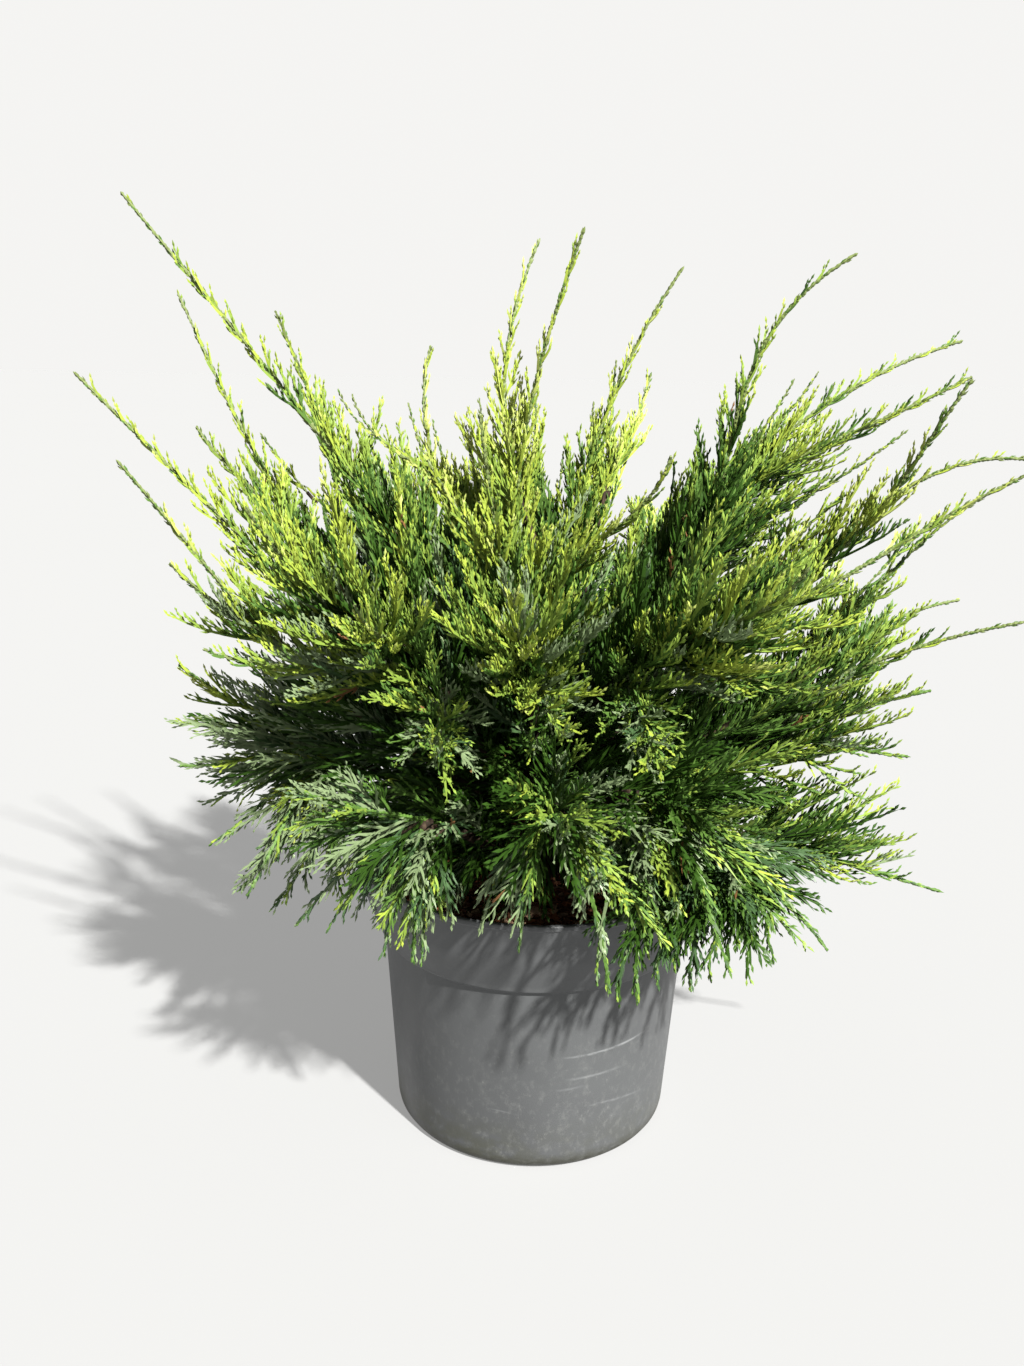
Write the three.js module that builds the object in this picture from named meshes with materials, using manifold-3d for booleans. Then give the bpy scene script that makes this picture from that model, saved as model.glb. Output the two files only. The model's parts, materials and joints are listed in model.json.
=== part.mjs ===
// Potted sea green juniper: a spreading evergreen shrub in a dark grey nursery pot, 0.6 m tall.
// Millimetres, +Z up, origin at the centre of the pot's flat underside, the front of the plant towards -Y.
// A short stem stands in the pot. Boughs leave it all round, and each carries one mass of foliage: a stem
// with its forks, side shoots set by a seeded rule, and a toothed spray for every shoot that has room.

import * as THREE from 'three';
import { mergeVertices } from 'three/addons/utils/BufferGeometryUtils.js';
import Module from 'manifold-3d';

const wasm = await Module();
wasm.setup();

const GAP = 0.3; // clearance between neighbouring pieces

// Pot
const POT_HEIGHT = 187;
const POT_SEGMENTS = 32;
const POT_FLOOR = 3;
const POT_WALL = 2.4;
const BASE_RADIUS = 94.6;
const BASE_EDGE = 6.5; // rounding at the foot
const BODY_TOP = { radius: 103, height: 132 };
const COLLAR_FOOT = { radius: 106.2, height: 134.5 };
const COLLAR_KNEE = { radius: 115.4, height: 158 };
const LIP_RADIUS = 122.6;
const LIP_DEPTH = 4;
const POT_CLEARANCE = 5; // foliage keeps this far off the pot

// Bark mulch that fills the pot
const SOIL_CROWN = 167.7;
const SOIL_EDGE = 162;
const SOIL_FLAT = 26; // level ground round the stem

// Short stem
const TRUNK_FOOT = new THREE.Vector3(6, 2, SOIL_CROWN + GAP);
const TRUNK_TIP = new THREE.Vector3(-4, 6, 303);
const TRUNK_FOOT_RADIUS = 13;
const TRUNK_TIP_RADIUS = 4.6;
const FLARE_RADIUS = 5; // added at the ground
const FLARE_HEIGHT = 9;
const TRUNK_RING_SHARES = [0, 0.02, 0.06, 0.13, 0.25, 0.42, 0.62, 0.82, 1];
const TRUNK_SIDES = 9;

// Limbs
const BOUGH_SIDES = 5;
const BOUGH_STEPS = 4;
const BOUGH_FOOT_RADIUS = 4.2;
const BOUGH_TIP_RADIUS = 3;
const BOUGH_SUNK = 6; // how far a bough would run into the stem before its foot is cut to fit
const STEM_TIP_RADIUS = 1.2;
const STEM_LAP = 6; // how far a stem runs into the spray at its tip
const BEND = 0.36; // how far a limb keeps its first and last direction, as a share of its span

// Core of a plume: the tight foliage close round its stem, ragged, with the sprays standing out of it
const CORE_SIDES = 5;
const CORE_RADIUS = 24;
const CORE_SHARES = [0, 0.12, 0.29, 0.5, 0.75, 1];
const CORE_RISE = 0.7; // powers of the swelling towards the foot and towards the tip
const BUSHY_FALL = 1.2;
const WHIP_FALL = 2.2;
const CORE_RAGGED = 0.3;

// Side shoots: every SHOOT_STEP along a stem, turned by the golden angle. One in SPRAY_STRIDE is a spray.
const SHOOT_STEP = 6.5;
const SPRAY_STRIDE = 9;
const GOLDEN_ANGLE = 137.508;
const SHOOT_ANGLE = 36;
const SHOOT_ANGLE_SPREAD = 14;
const SHOOT_SPREAD = 96; // longest side shoot
const SHOOT_LEAST = 6;
const SHOOT_CURL = 0.5; // turns forward along the stem
const SHOOT_LIFT = 0.45; // and up towards the light
const TAPER_POWER = 1.8;
const LONG_WHIP = 230; // stretch before the tip of a leader that thins out into a whip
const SHORT_WHIP = 105;
const TALL = 440;
const WIDE = 285;
const BARE_FOOT = 10; // no shoot this near the start of a stem

// Sprays
const SPRAY_THICKNESS = 1.3;
const SPRAY_ROOT = 1.3; // half width where it leaves the stem
const SPRAY_WIDTH_SHARE = 0.22; // half width over length
const TIP_SPRAY_WIDTH_SHARE = 0.08;
const SPRAY_LEAST = 26;
const TIP_SPRAY_SHARE = 0.3;
const TIP_SPRAY_LONGEST = 85;
const SPACE_MARGIN = 1.6;
const SHRINK = 0.8;
const SHRINK_TRIES = 4;

// One row for each mass: name, azimuth of its tip, reach and height of its tip, height where its bough
// leaves the stem, the bough's length, and its slope at the foot, at the elbow and at the tip, in degrees.
const PLUMES = [
  ['top', -20, 22, 584, 303, 0, 90, 90, 72],
  ['top_left', 129, 129, 517, 279, 60, 70, 72, 80],
  ['top_right', 42, 121, 570, 286, 60, 74, 66, 64],
  ['front_top', -112, 96, 478, 262, 60, 64, 68, 74],
  ['left_high', 176, 265, 603, 260, 110, 58, 60, 44],
  ['left_back', 159, 275, 549, 244, 110, 44, 48, 62],
  ['left_reach', 186, 285, 496, 235, 110, 36, 44, 48],
  ['left_front', 194, 257, 447, 212, 100, 26, 40, 56],
  ['left_low', 183, 236, 312, 194, 90, 16, 30, 40],
  ['right_high', 9, 194, 575, 252, 130, 34, 76, 38],
  ['right_back', 25, 330, 527, 264, 110, 48, 58, 18],
  ['right_reach', 4, 320, 450, 234, 110, 34, 48, -4],
  ['right_mid', -10, 301, 362, 215, 110, 18, 42, 12],
  ['right_low', 0, 257, 303, 199, 100, 12, 34, 14],
  ['right_sweep', -4, 273, 169, 184, 90, 12, 4, -14],
  ['front_left', -140, 205, 430, 221, 80, 44, 58, 60],
  ['front_mid', -94, 190, 400, 234, 80, 44, 60, 58],
  ['front_right', -52, 215, 410, 244, 80, 44, 56, 54],
  ['front_left_low', -124, 222, 292, 184, 80, 20, 34, 34],
  ['front_low', -86, 228, 290, 202, 80, 22, 36, 30],
  ['front_right_low', -60, 240, 285, 212, 80, 20, 32, 22],
  ['front_right_sweep', -36, 212, 178, 192, 80, 20, 6, -46],
  ['back_right', 50, 270, 455, 228, 90, 44, 56, 40],
  ['back_mid', 92, 250, 480, 246, 90, 50, 60, 52],
  ['back_left', 125, 262, 440, 216, 90, 40, 52, 44],
  ['back_low_right', 44, 272, 250, 194, 90, 18, 22, -6],
  ['back_low', 88, 262, 285, 186, 90, 20, 30, 10],
  ['back_low_left', 138, 262, 235, 204, 90, 16, 20, -8],
];

// Forks of those stems: mass, share of the way along its stem, azimuth, reach and height of the fork's tip,
// and its slope where it starts and at the tip.
const FORKS = [
  ['top', 0.3, 96, 60, 584, 84, 66],
  ['top_right', 0.25, 64, 178, 501, 60, 68],
  ['front_top', 0.2, -55, 120, 458, 62, 70],
  ['left_back', 0.3, 145, 242, 540, 58, 64],
  ['left_reach', 0.3, 166, 244, 461, 48, 56],
  ['left_front', 0.35, 200, 230, 390, 40, 52],
  ['left_low', 0.3, 193, 232, 256, 10, 6],
  ['left_low', 0.2, 206, 198, 184, 0, -55],
  ['right_back', 0.25, 15, 297, 502, 48, 22],
  ['right_reach', 0.3, -12, 248, 501, 46, 58],
  ['right_mid', 0.3, 14, 304, 350, 36, 8],
  ['right_low', 0.3, -11, 236, 272, 22, 2],
  ['front_left', 0.3, -120, 190, 385, 50, 56],
  ['front_right', 0.3, -13, 289, 452, 44, 28],
  ['front_left_low', 0.25, -116, 158, 172, 14, -70],
  ['front_low', 0.25, -77, 186, 178, 10, -62],
  ['front_right_low', 0.2, -56, 195, 182, 4, -54],
  ['back_right', 0.3, 70, 240, 400, 52, 40],
  ['back_mid', 0.3, 108, 262, 390, 50, 36],
  ['back_left', 0.3, 146, 262, 370, 44, 34],
  ['back_low', 0.3, 108, 250, 200, 16, -20],
];

const COLOURS = {
  pot: 0x5b5f60,
  soil: 0x5a3a28,
  bark: 0x6d4a33,
  foliageBright: 0x8fae3c,
  foliageGreen: 0x5f8a3a,
  foliageBlue: 0x4d7a5a,
};
const BRIGHT_FROM = 440;
const GREEN_FROM = 300;
const UP = new THREE.Vector3(0, 0, 1);

// Repeatable numbers from 0 to 1
function seeded(seed) {
  let state = seed >>> 0;
  return () => {
    state = (state + 0x6d2b79f5) >>> 0;
    let mixed = Math.imul(state ^ (state >>> 15), state | 1);
    mixed ^= mixed + Math.imul(mixed ^ (mixed >>> 7), mixed | 61);
    return ((mixed ^ (mixed >>> 14)) >>> 0) / 4294967296;
  };
}

// Unit vector at an azimuth and a slope, in degrees
function heading(azimuth, slope) {
  const a = THREE.MathUtils.degToRad(azimuth);
  const s = THREE.MathUtils.degToRad(slope);
  return new THREE.Vector3(Math.cos(a) * Math.cos(s), Math.sin(a) * Math.cos(s), Math.sin(s));
}

// Smooth limb from one point to another, leaving and arriving in given directions
function limbCurve(from, leaving, to, arriving) {
  const handle = from.distanceTo(to) * BEND;
  const first = from.clone().addScaledVector(leaving, handle);
  const second = to.clone().addScaledVector(arriving, -handle);
  return new THREE.CubicBezierCurve3(from, first, second, to);
}

// The first part of a limb, up to a share of its length
function lowerPart(curve, share) {
  const cut = curve.getUtoTmapping(share);
  const [a, b, c, d] = [curve.v0, curve.v1, curve.v2, curve.v3];
  const ab = a.clone().lerp(b, cut);
  const bc = b.clone().lerp(c, cut);
  const cd = c.clone().lerp(d, cut);
  const abc = ab.clone().lerp(bc, cut);
  return new THREE.CubicBezierCurve3(a, ab, abc, abc.clone().lerp(bc.clone().lerp(cd, cut), cut));
}

function trunkPoint(height) {
  const share = (height - TRUNK_FOOT.z) / (TRUNK_TIP.z - TRUNK_FOOT.z);
  return TRUNK_FOOT.clone().lerp(TRUNK_TIP, share);
}

function trunkRadius(height) {
  const share = (height - TRUNK_FOOT.z) / (TRUNK_TIP.z - TRUNK_FOOT.z);
  const flare = FLARE_RADIUS * Math.exp(-(height - TRUNK_FOOT.z) / FLARE_HEIGHT);
  return THREE.MathUtils.lerp(TRUNK_FOOT_RADIUS, TRUNK_TIP_RADIUS, share) + flare;
}

// Closed body through rings of points that all have the same number of corners
function ringBody(rings) {
  const sides = rings[0].length;
  const index = [];
  for (let i = 0; i + 1 < rings.length; i += 1) {
    for (let k = 0; k < sides; k += 1) {
      const a = i * sides + k;
      const b = i * sides + ((k + 1) % sides);
      index.push(a, b, a + sides, b, b + sides, a + sides);
    }
  }
  const last = (rings.length - 1) * sides;
  for (let k = 1; k + 1 < sides; k += 1) {
    index.push(0, k + 1, k, last, last + k, last + k + 1);
  }
  const geometry = new THREE.BufferGeometry().setFromPoints(rings.flat());
  geometry.setIndex(index);
  return geometry;
}

// Round limb along a curve, thinning evenly from its foot to its tip
function taperedLimb(curve, footRadius, tipRadius, sides, steps) {
  const frames = curve.computeFrenetFrames(steps, false);
  const rings = frames.tangents.map((_, i) => {
    const centre = curve.getPointAt(i / steps);
    const radius = THREE.MathUtils.lerp(footRadius, tipRadius, i / steps);
    return Array.from({ length: sides }, (__, k) => {
      const turn = (2 * Math.PI * k) / sides;
      return centre.clone()
        .addScaledVector(frames.normals[i], radius * Math.cos(turn))
        .addScaledVector(frames.binormals[i], radius * Math.sin(turn));
    });
  });
  return ringBody(rings);
}

function toSolid(geometry) {
  const bare = new THREE.BufferGeometry();
  bare.setAttribute('position', geometry.getAttribute('position'));
  bare.setIndex(geometry.getIndex());
  const merged = mergeVertices(bare, 1e-4);
  return new wasm.Manifold(new wasm.Mesh({
    numProp: 3,
    vertProperties: Float32Array.from(merged.getAttribute('position').array),
    triVerts: Uint32Array.from(merged.getIndex().array),
  }));
}

// The outer skin alone: sealed hollows are filled and loose scraps dropped
function outerBody(solid) {
  return solid.decompose().reduce((a, b) => (b.volume() > a.volume() ? b : a));
}

function toGeometry(solid) {
  const mesh = solid.getMesh();
  const geometry = new THREE.BufferGeometry();
  geometry.setAttribute('position', new THREE.BufferAttribute(mesh.vertProperties, 3));
  geometry.setIndex(new THREE.BufferAttribute(mesh.triVerts, 1));
  geometry.computeVertexNormals();
  return geometry;
}

function makeMesh(name, geometry, colour, roughness) {
  const material = new THREE.MeshStandardMaterial({ color: colour, roughness, metalness: 0 });
  const mesh = new THREE.Mesh(geometry, material);
  mesh.name = name;
  return mesh;
}

// Solid turned about the pot's axis from a profile of [radius, height] pairs
function turned(profile) {
  const points = profile.map(([radius, height]) => new THREE.Vector2(radius, height));
  const geometry = new THREE.LatheGeometry(points, POT_SEGMENTS);
  geometry.rotateX(Math.PI / 2);
  return toGeometry(toSolid(geometry));
}

// Pot: plain tapered body, a collar that stands out over it, and a thin rolled lip
function makePot() {
  const knee = COLLAR_KNEE;
  const collarLow = { radius: (COLLAR_FOOT.radius + knee.radius) / 2 - 0.6, height: 145 };
  const innerLip = LIP_RADIUS - POT_WALL - 1;
  const profile = [
    [0, 0],
    [BASE_RADIUS - BASE_EDGE, 0],
    [BASE_RADIUS - 0.3 * BASE_EDGE, 0.3 * BASE_EDGE],
    [BASE_RADIUS, BASE_EDGE],
    [BODY_TOP.radius, BODY_TOP.height],
    [COLLAR_FOOT.radius, COLLAR_FOOT.height],
    [collarLow.radius, collarLow.height],
    [knee.radius, knee.height],
    [LIP_RADIUS - 1.2, POT_HEIGHT - LIP_DEPTH],
    [LIP_RADIUS, POT_HEIGHT - LIP_DEPTH / 2],
    [LIP_RADIUS - 1, POT_HEIGHT],
    [innerLip, POT_HEIGHT],
    [innerLip - 0.6, POT_HEIGHT - LIP_DEPTH],
    [knee.radius - POT_WALL, knee.height],
    [collarLow.radius - POT_WALL, collarLow.height + 1],
    [COLLAR_FOOT.radius - POT_WALL, COLLAR_FOOT.height + 2.5],
    [BODY_TOP.radius - POT_WALL, BODY_TOP.height - 1],
    [BASE_RADIUS - POT_WALL, BASE_EDGE],
    [BASE_RADIUS - BASE_EDGE, POT_FLOOR],
    [0, POT_FLOOR],
  ];
  return makeMesh('pot', turned(profile), COLOURS.pot, 0.6);
}

// Mulch fills the pot to a little below the lip and is heaped slightly round the stem
function makeSoil() {
  const knee = COLLAR_KNEE;
  const inside = POT_WALL + 2 * GAP;
  const profile = [
    [0, POT_FLOOR + GAP],
    [BASE_RADIUS - BASE_EDGE - GAP, POT_FLOOR + GAP],
    [BASE_RADIUS - inside, BASE_EDGE + GAP],
    [BODY_TOP.radius - inside, BODY_TOP.height - 1],
    [knee.radius - inside, knee.height + GAP],
    [knee.radius - inside, SOIL_EDGE],
    [70, SOIL_EDGE + 3.5],
    [SOIL_FLAT, SOIL_CROWN],
    [0, SOIL_CROWN],
  ];
  return makeMesh('soil', turned(profile), COLOURS.soil, 0.95);
}

// Stem: level cut at the ground, root flare, true taper and a slight lean to the left, or that shape
// with its sides moved outwards
function trunkBody(outwards) {
  const rings = TRUNK_RING_SHARES.map((share) => {
    const centre = TRUNK_FOOT.clone().lerp(TRUNK_TIP, share);
    const radius = trunkRadius(centre.z) + outwards / Math.cos(Math.PI / TRUNK_SIDES);
    return Array.from({ length: TRUNK_SIDES }, (_, k) => {
      const turn = (2 * Math.PI * k) / TRUNK_SIDES;
      return new THREE.Vector3(radius * Math.cos(turn), radius * Math.sin(turn), 0).add(centre);
    });
  });
  return ringBody(rings);
}

// Curves of a plume: its bough, its stem and the stem's forks
function planPlume(row) {
  const [name, azimuth, reach, height, footHeight, boughLength, rise, climb, tipSlope] = row;
  const tip = heading(azimuth, 0).multiplyScalar(reach).setZ(height);
  const climbing = heading(azimuth, climb);
  let bough = null;
  let elbow = TRUNK_TIP.clone();
  if (boughLength > 0) {
    const leaving = heading(azimuth, rise);
    const foot = trunkPoint(footHeight).addScaledVector(heading(azimuth, 0), trunkRadius(footHeight));
    elbow = foot.clone().addScaledVector(heading(azimuth, (rise + climb) / 2), boughLength);
    bough = limbCurve(foot.addScaledVector(leaving, -BOUGH_SUNK), leaving, elbow, climbing);
  }
  const start = elbow.clone().addScaledVector(climbing, GAP);
  const stem = limbCurve(start, climbing, tip, heading(azimuth, tipSlope));
  const footRadius = bough ? BOUGH_TIP_RADIUS : TRUNK_TIP_RADIUS;
  const stems = [planStem(stem, footRadius, reach, height)];
  for (const [mass, share, forkAzimuth, forkReach, forkHeight, leave, arrive] of FORKS) {
    if (mass === name) {
      const forkTip = heading(forkAzimuth, 0).multiplyScalar(forkReach).setZ(forkHeight);
      const from = stem.getPoint(share);
      const fork = limbCurve(from, heading(forkAzimuth, leave), forkTip, heading(forkAzimuth, arrive));
      const radius = THREE.MathUtils.lerp(footRadius, STEM_TIP_RADIUS, share) * 0.9;
      stems.push(planStem(fork, radius, forkReach, forkHeight));
    }
  }
  return { name, height, bough, stems };
}

function planStem(curve, footRadius, reach, height) {
  const whip = height > TALL || reach > WIDE ? LONG_WHIP : SHORT_WHIP;
  return { curve, footRadius, whip, length: curve.getLength() };
}

// Side shoots of a stem: where each starts, the curve it follows and its length
function sideShoots(stem, random) {
  const count = Math.floor((stem.length - BARE_FOOT) / SHOOT_STEP);
  const firstTurn = 360 * random();
  return Array.from({ length: count }, (_, i) => {
    const along = BARE_FOOT + i * SHOOT_STEP;
    const share = along / stem.length;
    const start = stem.curve.getPoint(share);
    const forward = stem.curve.getTangent(share);
    const level = new THREE.Vector3().crossVectors(forward, UP).normalize();
    const turn = THREE.MathUtils.degToRad(firstTurn + i * GOLDEN_ANGLE);
    const outward = level.applyAxisAngle(forward, turn);
    const open = THREE.MathUtils.degToRad(SHOOT_ANGLE + SHOOT_ANGLE_SPREAD * (random() - 0.5));
    const leaving = forward.clone().multiplyScalar(Math.cos(open)).addScaledVector(outward, Math.sin(open));
    const fullness = Math.min(1, (stem.length - along) / stem.whip) ** TAPER_POWER;
    const length = (SHOOT_LEAST + (SHOOT_SPREAD - SHOOT_LEAST) * fullness) * (0.8 + 0.35 * random());
    const roll = Math.PI * random();
    return { start, forward, leaving, length, roll };
  });
}

// A shoot leaves at an angle, then turns forward and up
function shootCurve(shoot, length) {
  const middle = shoot.start.clone().addScaledVector(shoot.leaving, length / 2);
  const arriving = shoot.leaving.clone()
    .addScaledVector(shoot.forward, SHOOT_CURL)
    .addScaledVector(UP, SHOOT_LIFT)
    .normalize();
  const end = middle.clone().addScaledVector(arriving, length / 2);
  return new THREE.QuadraticBezierCurve3(shoot.start, middle, end);
}

// Outline of a spray: teeth that point forward on both sides of a rib, widest below the middle
function toothedShape(length, halfWidth, leftTeeth, rightTeeth) {
  const side = (teeth) => Array.from({ length: teeth }, (_, i) => {
    const share = (i + 1) / (teeth + 0.7);
    const width = halfWidth * (1.3 - 0.6 * share);
    return [
      new THREE.Vector2(length * share, width),
      new THREE.Vector2(length * (share - 0.07), width * 0.36),
    ];
  }).flat();
  const mirror = (point) => new THREE.Vector2(point.x, -point.y);
  return new THREE.Shape([
    new THREE.Vector2(0, -SPRAY_ROOT),
    ...side(rightTeeth).map(mirror),
    new THREE.Vector2(length, 0),
    ...side(leftTeeth).reverse(),
    new THREE.Vector2(0, SPRAY_ROOT),
  ]);
}

// Toothed blade bent along a curve
function sprayGeometry(curve, roll, halfWidth, leftTeeth, rightTeeth) {
  const length = curve.getLength();
  const shape = toothedShape(length, halfWidth, leftTeeth, rightTeeth);
  const geometry = new THREE.ExtrudeGeometry(shape, { depth: SPRAY_THICKNESS, bevelEnabled: false });
  const middle = curve.getTangent(0.5);
  const across = new THREE.Vector3().crossVectors(middle, UP).normalize().applyAxisAngle(middle, roll);
  const position = geometry.getAttribute('position');
  const point = new THREE.Vector3();
  for (let i = 0; i < position.count; i += 1) {
    point.fromBufferAttribute(position, i);
    const share = point.x / length;
    const tangent = curve.getTangent(share);
    const normal = new THREE.Vector3().crossVectors(tangent, across).normalize();
    const sideways = new THREE.Vector3().crossVectors(normal, tangent);
    const placed = curve.getPoint(share)
      .addScaledVector(sideways, point.y)
      .addScaledVector(normal, point.z - SPRAY_THICKNESS / 2);
    position.setXYZ(i, placed.x, placed.y, placed.z);
  }
  return geometry;
}

function distanceToPath(point, path) {
  const segment = new THREE.Line3();
  const nearest = new THREE.Vector3();
  let least = Infinity;
  for (let i = 0; i + 1 < path.length; i += 1) {
    segment.set(path[i], path[i + 1]).closestPointToPoint(point, true, nearest);
    least = Math.min(least, nearest.distanceTo(point));
  }
  return least;
}

function plumePaths(plumes) {
  return plumes.map(({ name, bough, stems }) => ({
    name,
    paths: stems.map((stem) => stem.curve.getPoints(14)),
    bough: bough ? bough.getPoints(8) : [TRUNK_FOOT, TRUNK_TIP],
  }));
}

// Room round a point on a stem, shared evenly with the limbs next to it, and clear of the pot
function roomAt(name, point, spaces) {
  const overPot = point.z - POT_HEIGHT - POT_CLEARANCE;
  const besidePot = Math.hypot(point.x, point.y) - LIP_RADIUS - POT_CLEARANCE;
  let room = Math.max(overPot, besidePot, 0);
  for (const space of spaces) {
    if (space.name !== name) {
      const nearest = Math.min(...space.paths.map((path) => distanceToPath(point, path)));
      const toBough = distanceToPath(point, space.bough) - BOUGH_FOOT_RADIUS - SPACE_MARGIN;
      room = Math.min(room, nearest / 2 - SPACE_MARGIN, toBough);
    }
  }
  return room;
}

// A mass keeps to the space that is nearer to its own stems than to any other, and clear of limbs and pot
function makeSpaceTest(spaces) {
  return (name, point) => {
    const radius = Math.hypot(point.x, point.y);
    if (radius < LIP_RADIUS + POT_CLEARANCE && point.z < POT_HEIGHT + POT_CLEARANCE) {
      return false;
    }
    const height = THREE.MathUtils.clamp(point.z, TRUNK_FOOT.z, TRUNK_TIP.z);
    if (trunkPoint(height).distanceTo(point) < trunkRadius(height) + SPACE_MARGIN) {
      return false;
    }
    let own = Infinity;
    let other = Infinity;
    for (const space of spaces) {
      const toBough = distanceToPath(point, space.bough);
      if (space.name !== name && toBough < BOUGH_FOOT_RADIUS + SPACE_MARGIN) {
        return false;
      }
      const nearest = Math.min(...space.paths.map((path) => distanceToPath(point, path)));
      if (space.name === name) {
        own = nearest;
      } else {
        other = Math.min(other, nearest, toBough);
      }
    }
    return own + SPACE_MARGIN < other;
  };
}

// Every corner of a spray, and the middle of every edge, has to lie in the mass's space
function fits(geometry, name, inSpace) {
  const position = geometry.getAttribute('position');
  const corners = Array.from({ length: position.count }, (_, i) => (
    new THREE.Vector3().fromBufferAttribute(position, i)
  ));
  return corners.every((corner, i) => {
    const next = corners[(i + 1) % corners.length];
    return inSpace(name, corner) && inSpace(name, corner.clone().lerp(next, 0.5));
  });
}

// Spray of a shoot, shortened until it fits, or nothing
function fitSpray(shoot, name, inSpace) {
  let length = shoot.length;
  for (let i = 0; i < SHRINK_TRIES && length > SPRAY_LEAST; i += 1) {
    const curve = shootCurve(shoot, length);
    const geometry = sprayGeometry(curve, shoot.roll, length * SPRAY_WIDTH_SHARE, 1, 1);
    if (fits(geometry, name, inSpace)) {
      return geometry;
    }
    length *= SHRINK;
  }
  return null;
}

// Swelling of the foliage round a stem, nothing at either end and fullest in the lower third
function swelling(share, fall) {
  const peak = CORE_RISE / (CORE_RISE + fall);
  return (share / peak) ** CORE_RISE * ((1 - share) / (1 - peak)) ** fall;
}

// Ragged spindle along a curve that starts and ends as thin as the stem
function coreBody(curve, stem, name, spaces, random) {
  const steps = CORE_SHARES.length - 1;
  const fall = stem.whip === LONG_WHIP ? WHIP_FALL : BUSHY_FALL;
  const frames = curve.computeFrenetFrames(steps, false);
  const rings = CORE_SHARES.map((share, i) => {
    const centre = curve.getPointAt(share);
    const tangent = curve.getTangentAt(share);
    const across = frames.normals[i].clone().projectOnPlane(tangent).normalize();
    const thin = THREE.MathUtils.lerp(stem.footRadius, STEM_TIP_RADIUS, share);
    const swell = CORE_RADIUS * swelling(share, fall);
    const limit = Math.max(0, roomAt(name, centre, spaces) - thin) / (1 + CORE_RAGGED);
    return Array.from({ length: CORE_SIDES }, (_, k) => {
      const turn = (2 * Math.PI * (k + (i % 2) / 2)) / CORE_SIDES;
      const ragged = 1 + CORE_RAGGED * (2 * random() - 1);
      const radius = thin + Math.min(swell, limit) * ragged;
      return centre.clone().addScaledVector(across.clone().applyAxisAngle(tangent, turn), radius);
    });
  });
  return ringBody(rings);
}

// A stem and its core end inside the slender spray that reaches the tip
function stemBodies(stem, name, spaces, random) {
  const sprayLength = Math.min(TIP_SPRAY_LONGEST, stem.length * TIP_SPRAY_SHARE);
  const sprayFrom = 1 - sprayLength / stem.length;
  const tip = stem.curve.getPoint(1);
  const middle = tip.clone().addScaledVector(stem.curve.getTangentAt(1), -sprayLength / 2);
  const sprayCurve = new THREE.QuadraticBezierCurve3(stem.curve.getPointAt(sprayFrom), middle, tip);
  const lower = lowerPart(stem.curve, sprayFrom + STEM_LAP / stem.length);
  return [
    coreBody(lower, stem, name, spaces, random),
    sprayGeometry(sprayCurve, 0, sprayLength * TIP_SPRAY_WIDTH_SHARE, 2, 1),
  ];
}

// Mass of foliage: stem, forks and sprays joined into one body
function makeFoliage(plume, spaces, seed) {
  const inSpace = makeSpaceTest(spaces);
  const random = seeded(seed);
  let solid = null;
  const join = (geometry) => {
    const piece = toSolid(geometry);
    solid = solid ? solid.add(piece) : piece;
  };
  plume.stems.flatMap((stem) => stemBodies(stem, plume.name, spaces, random)).forEach(join);
  for (const stem of plume.stems) {
    sideShoots(stem, random).forEach((shoot, i) => {
      if (i % SPRAY_STRIDE === 0) {
        const spray = fitSpray(shoot, plume.name, inSpace);
        if (spray) {
          join(spray);
        }
      }
    });
  }
  let colour = COLOURS.foliageBlue;
  if (plume.height >= BRIGHT_FROM) {
    colour = COLOURS.foliageBright;
  } else if (plume.height >= GREEN_FROM) {
    colour = COLOURS.foliageGreen;
  }
  return makeMesh(`foliage_${plume.name}`, toGeometry(outerBody(solid)), colour, 0.8);
}

// Bough with its foot cut to the stem's side
function makeBough(plume, aroundTrunk) {
  const limb = taperedLimb(plume.bough, BOUGH_FOOT_RADIUS, BOUGH_TIP_RADIUS, BOUGH_SIDES, BOUGH_STEPS);
  const geometry = toGeometry(outerBody(toSolid(limb).subtract(aroundTrunk)));
  return makeMesh(`bough_${plume.name}`, geometry, COLOURS.bark, 0.9);
}

const juniper = new THREE.Group();
const plumes = PLUMES.map(planPlume);
const spaces = plumePaths(plumes);
const aroundTrunk = toSolid(trunkBody(GAP));
juniper.add(makePot(), makeSoil(), makeMesh('trunk', trunkBody(0), COLOURS.bark, 0.9));
plumes.forEach((plume, i) => {
  const limb = new THREE.Group();
  if (plume.bough) {
    limb.add(makeBough(plume, aroundTrunk));
  }
  limb.add(makeFoliage(plume, spaces, i + 1));
  juniper.add(limb);
});

export default juniper;
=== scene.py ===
"""Potted sea green juniper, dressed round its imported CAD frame.

The limbs follow the same rule as the solids and are carried on to finer growth: side shoots, branchlets
on the shoots and small cordlets of scale leaves on the branchlets. Growth is worked out in millimetres,
with the origin under the pot, and turned into metres as each mesh is made.
"""

import json
import math
from collections import namedtuple

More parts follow.
